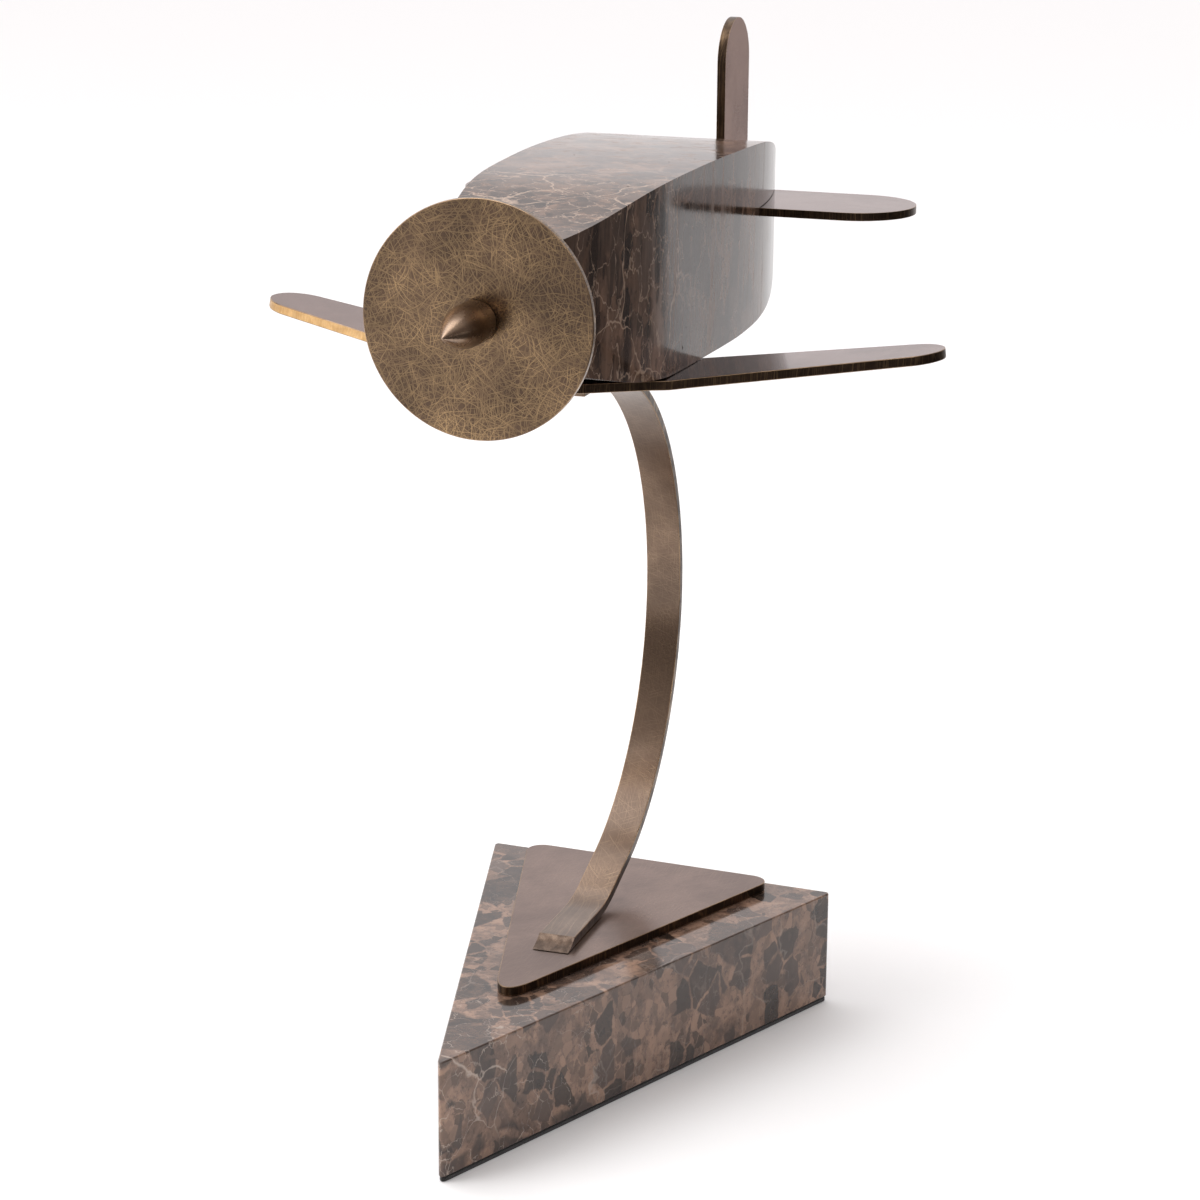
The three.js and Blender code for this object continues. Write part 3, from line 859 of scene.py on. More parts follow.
@dataclass
class Palette:
    """Every material of the object."""

    effects: Effects = field(default_factory=Effects)

    def make(self, finish: MarbleFinish | BronzeFinish | PlainMetalFinish | FeltFinish) -> bpy.types.Material:
        """Builds one material."""
        return finish.make(self.effects)

    def __post_init__(self) -> None:
        """Builds the materials."""
        self.body_marble = self.make(MarbleFinish(
            "body_marble", ground=(0.076, 0.045, 0.032), ground_warm=(0.20, 0.120, 0.082),
            clast=(0.018, 0.012, 0.010), clast_light=(0.11, 0.072, 0.055), vein=(0.50, 0.36, 0.27), large=0.026,
            small=0.010, large_share=0.5, small_share=0.45, vein_share=0.56, vein_strength=0.85, hair=0.03,
            vein_rest=0.14, front=(-0.02, 0.09), stretch=(0.75, 1.0, 0.62), turn=(5, 4, 3), move=(0.1, 0.2, 0.0),
            roughness=0.12, pit_share=0.42, streaks=0.75, reflect=0.42))
        self.base_marble = self.make(MarbleFinish(
            "base_marble", ground=(0.150, 0.089, 0.062), ground_warm=(0.36, 0.222, 0.154),
            clast=(0.014, 0.0105, 0.0095), clast_light=(0.085, 0.058, 0.048), vein=(0.62, 0.51, 0.43), large=0.027,
            small=0.0115, large_share=0.6, small_share=0.38, vein_share=0.42, vein_strength=0.75, hair=0.02,
            vein_rest=0.3, front=(-0.1, 0.0), stretch=(1.0, 1.0, 0.8), turn=(12, 24, -30), move=(0.3, 0.05, 0.1),
            roughness=0.11, pit_share=0.08, streaks=0.0, reflect=0.62))
        plain = dict(dark=(0.16, 0.108, 0.084), mid=(0.27, 0.19, 0.15), bright=(0.46, 0.34, 0.24),
                     scratch_layers=4, scratch_strength=0.35, spacing=0.0016, length=0.02, spread=70.0,
                     cloud_scale=22.0, grazing=(0.54, 0.46, 0.46))
        self.wing_bronze = self.make(BronzeFinish("wing_bronze", **plain, roughness=0.24, coat=0.75,
                                                  coat_roughness=0.1))
        self.plate_bronze = self.make(BronzeFinish("plate_bronze", **plain, roughness=0.32, coat=0.9,
                                                   coat_roughness=0.2))
        self.upright_bronze = self.make(BronzeFinish("upright_bronze", **plain, roughness=0.26, turn=(0, 90, 0),
                                                     coat=0.35))
        self.bar_bronze = self.make(BronzeFinish(
            "bar_bronze", dark=(0.12, 0.078, 0.053), mid=(0.21, 0.14, 0.095), bright=(0.45, 0.31, 0.19),
            roughness=0.32, scratch_layers=5, scratch_strength=0.4, spacing=0.0013, length=0.014, turn=(90, 0, 0),
            spread=120.0, cloud_scale=26.0, coat=0.5, coat_roughness=0.2))
        self.edge_bronze = self.make(BronzeFinish(
            "edge_bronze", (0.035, 0.023, 0.016), (0.085, 0.055, 0.036), (0.42, 0.28, 0.15), 0.38, 3, 0.5, 0.0012,
            0.006, spread=60.0, cloud_scale=120.0))
        self.worn_bronze = self.make(BronzeFinish(
            "worn_bronze", (0.2, 0.13, 0.082), (0.4, 0.27, 0.165), (0.7, 0.5, 0.3), 0.3, 2, 0.5, 0.0007, 0.008,
            cloud_scale=90.0))
        # Painted highlight: this bright bronze stands for light falling on the left wing's front cut edges.
        self.painted_highlight_bronze = self.make(BronzeFinish(
            "painted_highlight_bronze", (0.5, 0.3, 0.13), (0.72, 0.46, 0.21), (0.95, 0.78, 0.5), 0.34, 3, 0.6, 0.0012, 0.009,
            turn=(-90, 0, 0), spread=20.0, cloud_scale=160.0))
        self.weld_bronze = self.make(BronzeFinish(
            "weld_bronze", (0.075, 0.051, 0.038), (0.145, 0.100, 0.074), (0.5, 0.37, 0.25), 0.38, 2, 0.3, 0.0008,
            0.002, cloud_scale=260.0, coat=0.2, coat_roughness=0.25))
        self.disc_bronze = self.make(BronzeFinish(
            "disc_bronze", (0.085, 0.055, 0.037), (0.165, 0.105, 0.066), (0.62, 0.41, 0.20), 0.34, 13, 0.72, 0.0021,
            0.015, scratch_width=0.085, turn=(-90, 0, 0), curve=0.016, cloud_scale=26.0, coat=0.25,
            coat_roughness=0.3))
        self.spinner_bronze = self.make(BronzeFinish(
            "spinner_bronze", (0.25, 0.17, 0.12), (0.44, 0.30, 0.20), (0.6, 0.43, 0.26), 0.28, 3, 0.3, 0.0009,
            0.012, turn=(-90, 0, 0), cloud_scale=70.0, coat=0.5, coat_roughness=0.2))
        self.brass = self.make(PlainMetalFinish("turned_brass", (0.7, 0.5, 0.22), (0.45, 0.31, 0.13), 0.32))
        self.steel = self.make(PlainMetalFinish("zinc_steel", (0.55, 0.55, 0.54), (0.34, 0.33, 0.32), 0.38))
        self.felt = self.make(FeltFinish("black_felt", (0.006, 0.006, 0.006), (0.03, 0.028, 0.027)))


# ------------------------------------------------------------------------------------------ shared sizes


def smooth_curve(points: Sequence[tuple[float, float]], steps: int = 400) -> np.ndarray:
    """Smooth curve through points, of the kind that passes through each of them.

    Args:
        points: The points.
        steps: How many pieces the curve is made of.

    Returns:
        Points along the curve, one in each row.
    """
    p = np.array(points, float)
    last = len(p) - 1
    rows = []
    for t in np.linspace(0, last, steps + 1):
        i = min(int(t), last - 1)
        w = t - i
        a, b, c, d = p[max(i - 1, 0)], p[i], p[i + 1], p[min(i + 2, last)]
        u, v = (c - a) / 2, (d - b) / 2
        rows.append((2 * b - 2 * c + u + v) * w ** 3 + (-3 * b + 3 * c - 2 * u - v) * w ** 2 + u * w + b)
    return np.array(rows)


@dataclass
class Piece:
    """What each sub-assembly shares: the palette, and how a piece is handed over."""

    palette: Palette
    plate_arris_mm: float = 0.35

    def hand_over(self, obj: bpy.types.Object, node: str, slot: str, body: str = BODY) -> None:
        """Puts a finished piece in its body, in place of its plain solid.

        Args:
            obj: The finished piece.
            node: The CAD node that it stands for.
            slot: The record's material slot; not used.
            body: The body that it moves with.
        """
        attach(obj, body)
        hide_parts(node)
        LOG.info("%s: %d faces", obj.name, len(obj.data.polygons))

    def dress(self, obj: bpy.types.Object, *materials: bpy.types.Material) -> None:
        """Gives a piece its materials.

        Args:
            obj: The piece.
            *materials: The materials, in the order of its slots.
        """
        obj.data.materials.clear()
        for material in materials:
            obj.data.materials.append(material)

    def plate(self, obj: bpy.types.Object, face: bpy.types.Material, flat: Test,
              painted_highlight: Test | None = None) -> None:
        """Dresses a bronze plate: satin faces, dark cut edges and worn arrises.

        Args:
            obj: The plate, extruded.
            face: Material of its flat faces.
            flat: Test that the flat faces pass.
            painted_highlight: Test that the cut edges given a painted highlight pass; their bright bronze stands for
                light falling on them.
        """
        self.dress(obj, face, self.palette.edge_bronze, self.palette.worn_bronze)
        assign(obj, 1, lambda middle, normal: not flat(middle, normal))
        if painted_highlight:
            # Painted highlight: the chosen cut edges get bright bronze that stands for light falling on them.
            obj.data.materials.append(self.palette.painted_highlight_bronze)
            assign(obj, 3, lambda middle, normal: not flat(middle, normal) and painted_highlight(middle, normal))
        soften(obj, self.plate_arris_mm, 2, material=2)
        shade(obj)


# ------------------------------------------------------------------------------------------ stand


@dataclass
class Stand(Piece):
    """Felt, marble base and bronze plate."""

    turn: float = math.radians(-4)
    corner_mm: float = 2.0
    plate_corner_mm: float = 8.0
    base_shift_mm: float = 1.9
    base_length_mm: float = 242.2
    base_half_width_mm: float = 83.0
    base_apex_mm: float = -126.0
    felt_inset_mm: float = 0.3
    plate_shift_mm: float = -1.3
    plate_apex_mm: float = -64.5
    plate_length_mm: float = 176.5
    plate_half_width_mm: float = 61.0
    stud_hole_mm: float = 4.6
    counterbore_mm: float = 12.0
    base_arris_mm: float = 0.7
    felt_arris_mm: float = 0.5

    def turned(self, x: float, y: float, z: float) -> Vector:
        """Point of the stand's own plan, in millimetres, turned to its place, in metres."""
        return Matrix.Rotation(self.turn, 3, "Z") @ (Vector((x, y, 0)) * MM) + Vector((0, 0, z))

    def triangle(self, name: str, shift: float, apex: float, length: float, half: float, radius: float, low: float,
                 high: float) -> bpy.types.Object:
        """Triangular slab with its apex forward.

        Args:
            name: Name of the slab.
            shift: How far it sits to the right, in millimetres.
            apex: Place of its apex along Y, in millimetres.
            length: Its length, in millimetres.
            half: Half its width, in millimetres.
            radius: Radius of its corners, in millimetres.
            low: Height of its underside, in metres.
            high: Height of its top, in metres.

        Returns:
            The slab.
        """
        back = apex + length
        corners = [(self.turned(x, y, low), radius * MM)
                   for x, y in ((shift, apex), (shift + half, back), (shift - half, back))]
        slab = outline(name, corners)
        thicken(slab, (0, 0, high - low))
        return slab

    def build(self) -> None:
        """Builds and dresses the stand."""
        low, high = (corner.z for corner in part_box("marble_base"))
        base = self.triangle("polished_base", self.base_shift_mm, self.base_apex_mm, self.base_length_mm,
                             self.base_half_width_mm, self.corner_mm, low, high)
        soften(base, self.base_arris_mm, 3)
        cutters = []
        for side in ("front", "left", "right"):
            stud_low, stud_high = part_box(f"base_stud_{side}")
            washer_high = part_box(f"base_washer_{side}")[1]
            middle = (stud_low + stud_high) / 2
            cutters.append(rod_cutter(self.stud_hole_mm * MM, (middle.x, middle.y, high), (high - low) * 2.4))
            mouth = washer_high.z + GAP
            cutters.append(rod_cutter(self.counterbore_mm * MM, (middle.x, middle.y, mouth - 0.03), 0.06))
        carve(base, cutters)
        self.dress(base, self.palette.base_marble)
        shade(base)
        self.hand_over(base, "marble_base", "base_marble")

        slant = math.hypot(self.base_half_width_mm, self.base_length_mm)
        shift = self.felt_inset_mm * slant / self.base_half_width_mm
        length = self.base_length_mm - shift - self.felt_inset_mm
        half = self.base_half_width_mm * length / self.base_length_mm
        low, high = (corner.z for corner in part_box("felt_pad"))
        felt = self.triangle("felt_sheet", self.base_shift_mm, self.base_apex_mm + shift, length, half, self.corner_mm,
                             low, high)
        soften(felt, self.felt_arris_mm, 3)
        self.dress(felt, self.palette.felt)
        shade(felt)
        self.hand_over(felt, "felt_pad", "black_felt")

        low, high = (corner.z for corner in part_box("base_plate"))
        plate = self.triangle("triangle_plate", self.plate_shift_mm, self.plate_apex_mm, self.plate_length_mm,
                              self.plate_half_width_mm, self.plate_corner_mm, low, high)
        self.plate(plate, self.palette.plate_bronze, lambda _m, n: abs(n.z) > 0.7)
        self.hand_over(plate, "base_plate", "bronze_plate")


# ------------------------------------------------------------------------------------------ bowed bar


@dataclass
class BowedBar(Piece):
    """Flat bar, bent at the foot and bowed up to the wing, with the weld at its foot."""

    foot_mm: float = 32.4
    foot_bend_mm: float = 62.0
    foot_angle: float = math.radians(20)
    straight_mm: float = 21.4
    bow_mm: float = 116.9
    top_mm: float = 24.0
    arris_mm: float = 0.35
    countersink_mm: tuple = (6.1, 2.8, 3.3)    # radius at the mouth, radius inside, depth
    countersink_lift_mm: float = 0.65
    weld_steps: int = 40
    weld_reach_mm: float = 6.4
    weld_back_mm: float = 0.25
    weld_rise_mm: float = 0.9
    weld_hollow: float = 0.35

    def build(self) -> None:
        """Builds the bar and the weld."""
        low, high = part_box("support_strap")
        bar = start("bowed_bar", bpy.ops.mesh.primitive_plane_add, size=1, rotation=(math.pi / 2, 0, 0))
        here = Vector((0, low.y, low.z + SHEET / 2))
        with editing(bar):
            bpy.ops.mesh.select_all(action="SELECT")
            bpy.ops.transform.resize(value=(high.x - low.x, 1, SHEET))
            nudge(here)
            here = self.straight(here, self.foot_mm, 0)
            here = self.bend(bar, here, self.foot_bend_mm, 0, self.foot_angle, 14)
            here = self.straight(here, self.straight_mm, self.foot_angle)
            here = self.bend(bar, here, self.bow_mm, self.foot_angle, math.pi, 96)
            self.straight(here, self.top_mm, math.pi)
        outward(bar)
        mouth, inside, depth = (size * MM for size in self.countersink_mm)
        cutters = []
        for place in ("front", "rear"):
            screw_low, screw_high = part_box(f"wing_screw_{place}")
            middle = (screw_low + screw_high) / 2
            cutters.append(rod_cutter(WING_SCREW_HOLE, (middle.x, middle.y, screw_low.z), HOLE_DEPTH))
            cone = start("cutter", bpy.ops.mesh.primitive_cone_add, vertices=48, radius1=mouth, radius2=inside,
                         depth=depth, location=(middle.x, middle.y, screw_low.z + self.countersink_lift_mm * MM))
            cutters.append(cone)
        self.dress(bar, self.palette.bar_bronze, self.palette.edge_bronze, self.palette.worn_bronze)
        assign(bar, 1, lambda _m, n: abs(n.x) > 0.7)
        soften(bar, self.arris_mm, 2, material=2)
        assign(bar, 0, lambda middle, _n: middle.y < low.y + 1 * MM)
        carve(bar, cutters)
        shade(bar)
        self.hand_over(bar, "support_strap", "bronze_plate")
        self.build_weld()

    def straight(self, here: Vector, length_mm: float, heading: float) -> Vector:
        """Runs the bar straight on.

        Args:
            here: Middle of its end.
            length_mm: How far it runs.
            heading: Direction that it runs in, in radians above +Y.

        Returns:
            Middle of the new end.
        """
        step = Vector((0, math.cos(heading), math.sin(heading))) * length_mm * MM
        extrude(step)
        return here + step

    def bend(self, bar: bpy.types.Object, here: Vector, radius_mm: float, heading: float, to: float,
             steps: int) -> Vector:
        """Bends the bar from one heading to another.

        Args:
            bar: The bar, with its end face selected; not used.
            here: Middle of its end.
            radius_mm: Radius of the bend.
            heading: Direction that it runs in, in radians above +Y.
            to: Direction after the bend.
            steps: Facets round the bend.

        Returns:
            Middle of the new end.
        """
        radius = radius_mm * MM
        centre = here + Vector((0, -math.sin(heading), math.cos(heading))) * radius
        bpy.ops.mesh.spin(steps=steps, angle=heading - to, center=centre, axis=(1, 0, 0))
        return centre + Vector((0, math.sin(to), -math.cos(to))) * radius

    def build_weld(self) -> None:
        """Builds the weld: a hollow-faced bead with a rippled surface."""
        low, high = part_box("foot_weld")
        low = low - Vector((0, self.weld_reach_mm, 0)) * MM
        high = high + Vector((0, self.weld_back_mm, self.weld_rise_mm)) * MM
        weld = start("weld_bead", bpy.ops.mesh.primitive_circle_add, vertices=10, radius=1 * MM, fill_type="NGON")
        span = high - low
        section = [(high.y, low.z), (high.y, high.z)]
        for step in range(1, 9):
            t = step / 8
            across = 2 * (1 - t) * t * self.weld_hollow + t * t
            down = (1 - t) ** 2 + 2 * (1 - t) * t * self.weld_hollow
            section.append((high.y - across * span.y, low.z + down * span.z))
        with editing(weld):
            for index, (y, z) in enumerate(section):
                place_corner(weld, index, Vector((low.x, y, z)))
            bpy.ops.mesh.select_all(action="SELECT")
            for _ in range(self.weld_steps):
                extrude((span.x / self.weld_steps, 0, 0))
        outward(weld)
        inner = Vector((0, high.y, low.z))
        for vertex in weld.data.vertices:
            away = vertex.co - inner
            if away.y < -0.2 * MM and away.z > 0.2 * MM:
                ripple = noise.noise(vertex.co * 500) * 0.1 + noise.noise(vertex.co * 1500) * 0.04
                vertex.co += Vector((0, -1, 1)).normalized() * (ripple + 0.1) * MM
        self.dress(weld, self.palette.weld_bronze)
        shade(weld, 60)
        self.hand_over(weld, "foot_weld", "bronze_plate")


# ------------------------------------------------------------------------------------------ aeroplane


@dataclass
class Fuselage(Piece):
    """Marble body: a rectangle in section, a boat in plan and a fish in side view."""

    stations: int = 90
    arris_mm: float = 0.55
    half_width: tuple = ((7, 17), (45, 29.2), (98, 38.6), (160, 42.3), (218, 43.6), (262, 41), (305, 32.4),
                         (340, 20.2), (362, 7.5))
    top: tuple = ((7, 25), (45, 30), (98, 37.6), (150, 39.7), (200, 39.6), (245, 37.8), (275, 33.8), (303, 27),
                  (330, 17.2), (355, 6))
    belly_front: tuple = ((7, -20.5), (45, -29), (80, -37.2), (110, -41.3), (126, -41.9))
    belly_rear: tuple = ((205, -41.9), (245, -40.3), (285, -35.2), (323, -23.5), (352, -10))
    tail: tuple = (367, -2)
    stern: float = 368
    least_half: float = 0.4
    least_height: float = 0.8

    def section(self, y: float) -> tuple[float, float, float]:
        """Half width, underside and top of the body at a distance from the disc, in millimetres."""
        return (float(np.interp(y, *self.plan)), float(np.interp(y, *self.under)),
                float(np.interp(y, *self.over)))

    def prepare(self) -> None:
        """Works out the body's outlines."""
        mirrored = [(y, -half) for y, half in reversed(self.half_width)]
        plan = smooth_curve([*self.half_width, (self.stern, 0), *mirrored], 800)
        self.plan = plan[: len(plan) // 2 + 1].T
        side = smooth_curve([*self.top, self.tail, *reversed(self.belly_rear)], 800)
        turn = int(np.argmax(side[:, 0]))
        self.over = side[: turn + 1].T
        front = smooth_curve(self.belly_front, 100)
        self.under = np.vstack([front, side[turn:][::-1]]).T

    def build(self, nose: Vector) -> None:
        """Builds and dresses the body.

        Args:
            nose: Middle of the disc's front face, in metres.
        """
        self.prepare()
        t = np.linspace(0, 1, self.stations)
        places = self.half_width[0][0] + (self.tail[0] - self.half_width[0][0]) * np.sin(t * math.pi / 2) ** 0.9
        first = self.section(float(places[0]))
        body = start("marble_body", bpy.ops.mesh.primitive_plane_add, size=1, rotation=(math.pi / 2, 0, 0))
        with editing(body):
            bpy.ops.mesh.select_all(action="SELECT")
            half, low, high = first
            bpy.ops.transform.resize(value=(2 * half * MM, 1, (high - low) * MM))
            middle = Vector((nose.x, nose.y + places[0] * MM, nose.z + (low + high) / 2 * MM))
            nudge(middle)
            for y in places[1:]:
                new_half, new_low, new_high = self.section(float(y))
                new_half = max(new_half, self.least_half)
                new_high = max(new_high, new_low + self.least_height)
                target = Vector((nose.x, nose.y + y * MM, nose.z + (new_low + new_high) / 2 * MM))
                extrude(target - middle)
                bpy.ops.transform.resize(value=(new_half / half, 1, (new_high - new_low) / (high - low)),
                                         center_override=target)
                half, low, high, middle = new_half, new_low, new_high, target
        outward(body)
        soften(body, self.arris_mm, 3, angle=50)
        carve(body, self.cutters(nose))
        self.dress(body, self.palette.body_marble)
        shade(body, 28)
        self.hand_over(body, "fuselage", "body_marble")

    def cutters(self, nose: Vector) -> list[bpy.types.Object]:
        """Slots for the tail plates, and the bores for the inserts.

        Args:
            nose: Middle of the disc's front face, in metres.

        Returns:
            The cutters.
        """
        gap = Vector((GAP, GAP, GAP))
        made = []
        low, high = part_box("fin")
        made.append(box_cutter(low - gap, high + gap + Vector((0, 0.01, 0))))
        for node in ("tailplane_right", "tailplane_left"):
            low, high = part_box(node)
            made.append(box_cutter(low - gap, high + gap))
        for node in ("wing_insert_front", "wing_insert_rear"):
            low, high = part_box(node)
            middle = (low + high) / 2
            made.append(rod_cutter((high.x - low.x) / 2 + GAP, (middle.x, middle.y, low.z), 26 * MM))
        low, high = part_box("nose_insert")
        made.append(rod_cutter((high.x - low.x) / 2 + GAP, (nose.x, high.y - 0.028, nose.z), 0.06, 90))
        return made


@dataclass
class Wing(Piece):
    """One bronze plate, swept back, with its outer panels bent up."""

    bend_mm: float = 44.0
    bend_step_mm: float = 2.0
    shift_mm: float = -1.9
    rises: tuple = ((1, math.radians(7.0)), (-1, math.radians(8.8)))
    half_plan: tuple = ((0, 84, 26), (42, 110.5, 70), (149.6, 139.5, 15), (149.6, 167, 15), (42, 160, 60))

    def build(self, nose: Vector) -> None:
        """Builds and dresses the wing.

        Args:
            nose: Middle of the disc's front face, in metres.
        """
        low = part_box("wing")[0]
        bend = self.bend_mm * MM
        step = self.bend_step_mm * MM

        def corner(x: float, y: float, radius: float, side: int, rise: float) -> tuple[Vector, float]:
            """Place and radius of a corner, with the outer panel laid flat."""
            out = x if x <= self.bend_mm else self.bend_mm + (x - self.bend_mm) / math.cos(rise)
            return Vector((side * out * MM, nose.y + y * MM, low.z)), radius * MM

        right = [corner(*point, *self.rises[0]) for point in self.half_plan]
        left = [corner(*point, *self.rises[1]) for point in reversed(self.half_plan[1:])]
        wing = outline("swept_wing", [*right, *left], 16)
        thicken(wing, (0, 0, SHEET))
        with editing(wing):
            for side in (1, -1):
                for x in (bend - step, bend, bend + step):
                    bpy.ops.mesh.select_all(action="SELECT")
                    bpy.ops.mesh.bisect(plane_co=(side * x, 0, 0), plane_no=(1, 0, 0))
            for side, rise in self.rises:
                for x, share in ((bend - step, 0.25), (bend, 0.5), (bend + step, 0.25)):
                    pick(wing, Pick.VERTS, lambda co, _n, x=x: co.x * side > x + 1e-5)
                    hinge = (side * x, 0, low.z + SHEET / 2 + self.sag(x, rise))
                    bpy.ops.transform.rotate(value=rise * share * side, orient_axis="Y", center_override=hinge)
            bpy.ops.mesh.select_all(action="SELECT")
            nudge((self.shift_mm * MM, 0, 0))
        outward(wing)
        cutters = []
        for place in ("front", "rear"):
            screw_low, screw_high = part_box(f"wing_screw_{place}")
            middle = (screw_low + screw_high) / 2
            cutters.append(rod_cutter(WING_SCREW_HOLE, (middle.x, middle.y, low.z), HOLE_DEPTH))
        # The left panel's front cut edges get a painted highlight.
        self.plate(wing, self.palette.wing_bronze, lambda _m, n: abs(n.z) > 0.7,
                   painted_highlight=lambda middle, normal: middle.x < -bend and normal.y < -0.5)
        carve(wing, cutters)
        self.hand_over(wing, "wing", "bronze_plate")

    def sag(self, x: float, rise: float) -> float:
        """Height that the panel has already gained at a bend, in metres."""
        return max(x - (self.bend_mm - self.bend_step_mm) * MM, 0) * math.sin(rise / 2)


@dataclass
class Tail(Piece):
    """Fin and tailplanes: plates with round ends, let into the marble."""

    segments: int = 24
    roundness: float = 0.9999    # just short of a full half circle, so that no two corners meet

    def build(self) -> None:
        """Builds and dresses the tail plates."""
        low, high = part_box("fin")
        radius = (high.y - low.y) / 2
        corners = [(low.y, low.z, 0), (high.y, low.z, 0), (high.y, high.z, radius), (low.y, high.z, radius)]
        places = [(Vector((low.x, y, z)), r * self.roundness) for y, z, r in corners]
        fin = outline("tail_fin", places, self.segments)
        thicken(fin, (high.x - low.x, 0, 0))
        self.plate(fin, self.palette.upright_bronze, lambda _m, n: abs(n.x) > 0.7)
        self.hand_over(fin, "fin", "bronze_plate")
        for node, name in (("tailplane_right", "right_tailplane"), ("tailplane_left", "left_tailplane")):
            low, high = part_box(node)
            radius = (high.y - low.y) / 2 * self.roundness
            tip, root = (high.x, low.x) if node.endswith("right") else (low.x, high.x)
            corners = [(root, low.y, 0), (tip, low.y, radius), (tip, high.y, radius), (root, high.y, 0)]
            plane = outline(name, [(Vector((x, y, low.z)), r) for x, y, r in corners], self.segments)
            thicken(plane, (0, 0, high.z - low.z))
            self.plate(plane, self.palette.wing_bronze, lambda _m, n: abs(n.z) > 0.7)
            self.hand_over(plane, node, "bronze_plate")


@dataclass
class Propeller(Piece):
    """Disc that stands for the turning propeller, and the spinner that holds it."""

    facets: int = 160
    bore_mm: float = 5.3
    shoulder_mm: float = 9.0
    swell_mm: float = 8.0
    taper_mm: float = 7.0
    taper_share: float = 0.45
    tip_mm: float = 0.25
    stud_hole_mm: float = 3.3
    arris_mm: float = 0.4

    def build(self) -> None:
        """Builds and dresses the disc and the spinner."""
        low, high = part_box("propeller_disc")
        radius = (high.x - low.x) / 2
        middle = (low + high) / 2
        disc = start("propeller_plate", bpy.ops.mesh.primitive_circle_add, vertices=self.facets, radius=radius,
                     fill_type="NGON", location=(middle.x, low.y, middle.z), rotation=(math.pi / 2, 0, 0))
        with editing(disc):
            bpy.ops.mesh.select_all(action="SELECT")
            bpy.ops.mesh.inset(thickness=radius - self.bore_mm * MM)
            bpy.ops.mesh.delete(type="FACE")
            bpy.ops.mesh.select_all(action="SELECT")
            extrude((0, high.y - low.y, 0))
        outward(disc)
        self.dress(disc, self.palette.disc_bronze, self.palette.worn_bronze)
        soften(disc, self.arris_mm, 3, material=1)
        shade(disc)
        self.hand_over(disc, "propeller_disc", "scratched_bronze", PROPELLER_BODY)
        self.build_spinner()

    def build_spinner(self) -> None:
        """Builds the spinner: a bullet with a pointed arch for its profile."""
        low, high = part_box("spinner")
        radius = (high.x - low.x) / 2
        middle = (low + high) / 2
        length = high.y - low.y
        spinner = start("bullet_spinner", bpy.ops.mesh.primitive_circle_add, vertices=96, radius=radius,
                        fill_type="NGON", location=(middle.x, high.y, middle.z), rotation=(math.pi / 2, 0, 0))
        shoulder = self.shoulder_mm * MM
        a = Vector((radius, shoulder))
        b = Vector((radius, shoulder + self.swell_mm * MM))
        c = Vector((radius * self.taper_share, length - self.taper_mm * MM))
        d = Vector((self.tip_mm * MM, length))
        profile = [Vector((radius, shoulder * step / 4)) for step in range(1, 5)]
        for step in range(1, 25):
            t = step / 24
            profile.append(a * (1 - t) ** 3 + 3 * b * (1 - t) ** 2 * t + 3 * c * (1 - t) * t * t + d * t ** 3)
        with editing(spinner):
            bpy.ops.mesh.select_all(action="SELECT")
            here = Vector((radius, 0))
            for point in profile:
                extrude((0, here.y - point.y, 0))
                share = point.x / here.x
                bpy.ops.transform.resize(value=(share, 1, share),
                                         center_override=(middle.x, high.y - point.y, middle.z))
                here = point
        outward(spinner)
        soften(spinner, self.arris_mm, 3, angle=60)
        bore_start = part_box("propeller_stud")[0].y - GAP
        bore_end = high.y + HOLE_DEPTH + GAP
        carve(spinner, [rod_cutter(self.stud_hole_mm * MM, (middle.x, (bore_start + bore_end) / 2, middle.z),
                                   bore_end - bore_start, 90)])
        self.dress(spinner, self.palette.spinner_bronze)
        shade(spinner, 50)
        self.hand_over(spinner, "spinner", "spinner_bronze")


@dataclass
class Hardware(Piece):
    """Pieces that keep their plain solids and get a better finish."""

    def build(self) -> None:
        """Dresses every node that nothing stands for."""
        finishes = {
            "base_stud": self.palette.steel, "base_washer": self.palette.steel, "base_nut": self.palette.steel,
            "propeller_stud": self.palette.steel, "propeller_bush": self.palette.brass,
            "nose_insert": self.palette.brass, "wing_insert": self.palette.brass,
            "wing_screw": self.palette.spinner_bronze, "front_washer": self.palette.spinner_bronze,
        }
        for node, obj in frame["nodes"].items():
            for stem, material in finishes.items():
                if node.startswith(stem):
                    self.dress(obj, material)
                    LOG.info("%s: %s", node, material.name)


# ------------------------------------------------------------------------------------------ studio


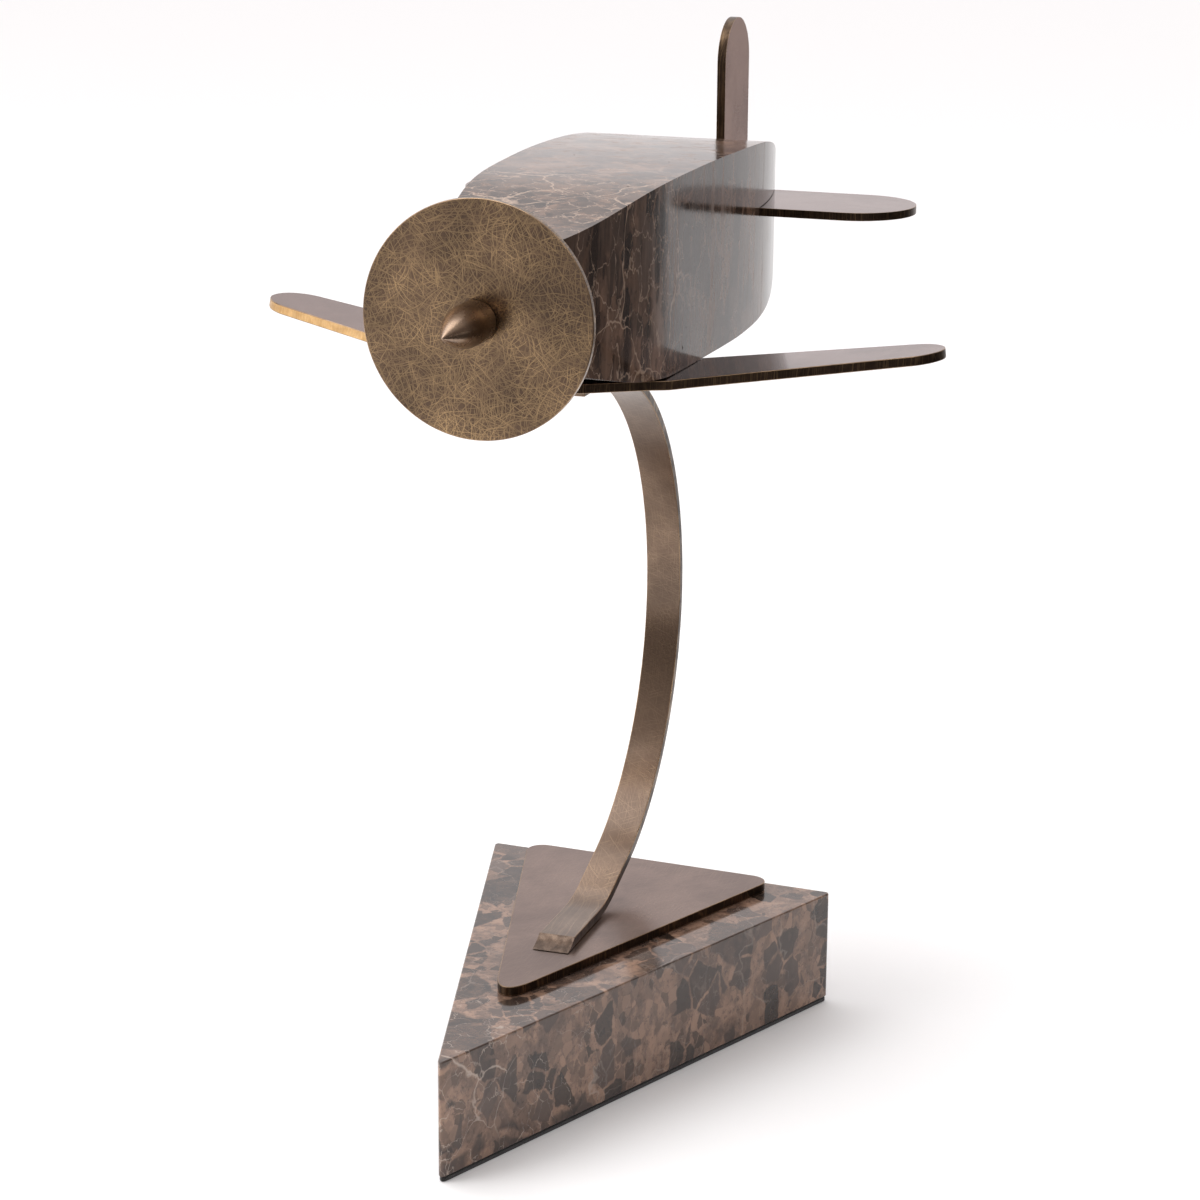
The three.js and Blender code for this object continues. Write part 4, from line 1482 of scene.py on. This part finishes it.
@dataclass
class Studio:
    """Pale floor, soft light and the camera, with a dark cloth on the floor outside the camera's view."""

    floor_half: float = 9.0
    floor_colour: Colour = (0.93, 0.93, 0.93)
    floor_dull: Colour = (0.9, 0.9, 0.9)
    sun_power: float = 1.1
    sun_turn: tuple = (math.radians(-8), math.radians(-14), 0)
    sky_dark: Colour = (0.17, 0.15, 0.143)
    sky_bright: Colour = (1.0, 0.965, 0.972)
    sky_strength: float = 1.04
    cloth: tuple = ((-0.1, -0.55), (0.42, -0.45), (0.34, 0.45), (0.41, 0.74), (0.58, 1.09), (2.0, 4.0), (5.0, 4.0),
                    (5.0, -5.0), (-1.0, -5.0))
    cloth_colour: Colour = (0.05, 0.045, 0.042)
    camera_place: tuple = (0.4234, -1.2285, 0.5789)
    camera_yaw: float = math.radians(18.249)
    camera_pitch: float = math.radians(15.851)
    camera_roll: float = math.radians(0.363)
    lens_mm: float = 97.5

    def build(self) -> None:
        """Builds the floor, the lights and the camera."""
        floor = start("floor", bpy.ops.mesh.primitive_plane_add, size=2 * self.floor_half)
        material = bpy.data.materials.new("floor_paint")
        material.use_nodes = True
        sheet = Sheet(material.node_tree)
        shader = material.node_tree.nodes["Principled BSDF"]
        place = sheet.node("TexCoord").outputs["Object"]
        tone = sheet.span(sheet.noise(place, 3.0), 0.3, 0.7, 0.985, 1.0)
        sheet.feed(shader.inputs["Base Color"], sheet.mix(tone, self.floor_dull, self.floor_colour))
        shader.inputs["Roughness"].default_value = 0.9
        floor.data.materials.append(material)
        cloth = outline("dark_cloth", [(Vector((x, y, 0.002)), 0) for x, y in self.cloth])
        black = bpy.data.materials.new("cloth_black")
        black.use_nodes = True
        Sheet(black.node_tree).feed(black.node_tree.nodes["Principled BSDF"].inputs["Base Color"], self.cloth_colour)
        cloth.data.materials.append(black)

        world = bpy.data.worlds.new("studio")
        bpy.context.scene.world = world
        world.use_nodes = True
        sky = Sheet(world.node_tree)
        background = world.node_tree.nodes["Background"]
        way = sky.node("SeparateXYZ", {0: sky.node("TexCoord").outputs["Generated"]})
        rearward = sky.times(way.outputs[1], 0.56)
        behind = sky.span(sky.minus(rearward, sky.times(way.outputs[0], 0.83)), -0.25, 0.25)
        above = sky.span(way.outputs[2], 0.35, 0.95)
        share = sky.math("MAXIMUM", behind, sky.times(above, 0.5))
        sky.feed(background.inputs["Color"], sky.mix(share, self.sky_dark, self.sky_bright))
        background.inputs["Strength"].default_value = self.sky_strength

        sun = bpy.data.lights.new("skylight", "SUN")
        sun.energy = self.sun_power
        sun.angle = math.radians(70)
        lamp = bpy.data.objects.new("skylight", sun)
        lamp.rotation_euler = self.sun_turn
        bpy.context.scene.collection.objects.link(lamp)
        self.area("overhead", (-0.6, -0.2, 2.2), (0, 0, 0.3), 1.6, 14)
        self.area("left", (-2.0, -1.4, 1.4), (0, 0, 0.3), 1.4, 22)
        self.area("front", (1.2, -2.4, 1.6), (0, 0, 0.3), 1.0, 10)

        data = bpy.data.cameras.new("camera")
        data.lens = self.lens_mm
        data.sensor_width = 36
        data.clip_start, data.clip_end = 0.05, 40
        camera = bpy.data.objects.new("camera", data)
        camera.location = self.camera_place
        aim = Matrix.Rotation(self.camera_yaw, 3, "Z") @ Matrix.Rotation(math.pi / 2 - self.camera_pitch, 3, "X")
        camera.rotation_euler = (aim @ Matrix.Rotation(self.camera_roll, 3, "Z")).to_euler()
        bpy.context.scene.collection.objects.link(camera)
        bpy.context.scene.camera = camera
        bpy.context.scene.view_settings.view_transform = "Standard"

    def area(self, name: str, place: Sequence[float], target: Sequence[float], size: float, power: float) -> None:
        """Adds a soft square light.

        Args:
            name: Its name.
            place: Where it is.
            target: What it points at.
            size: Its side, in metres.
            power: Its power, in watts.
        """
        data = bpy.data.lights.new(name, "AREA")
        data.size = size
        data.energy = power
        light = bpy.data.objects.new(name, data)
        light.location = place
        light.rotation_euler = (Vector(target) - Vector(place)).to_track_quat("-Z", "Y").to_euler()
        bpy.context.scene.collection.objects.link(light)


def main() -> None:
    """Builds the object and the studio, in order."""
    Studio().build()
    palette = Palette()
    disc_low, disc_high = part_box("propeller_disc")
    nose = Vector(((disc_low.x + disc_high.x) / 2, disc_low.y, (disc_low.z + disc_high.z) / 2))
    Stand(palette).build()
    BowedBar(palette).build()
    Fuselage(palette).build(nose)
    Wing(palette).build(nose)
    Tail(palette).build()
    Propeller(palette).build()
    Hardware(palette).build()
    deselect_all()


if __name__ == "__main__":
    logging.basicConfig(level=logging.INFO, format="%(message)s")
    main()
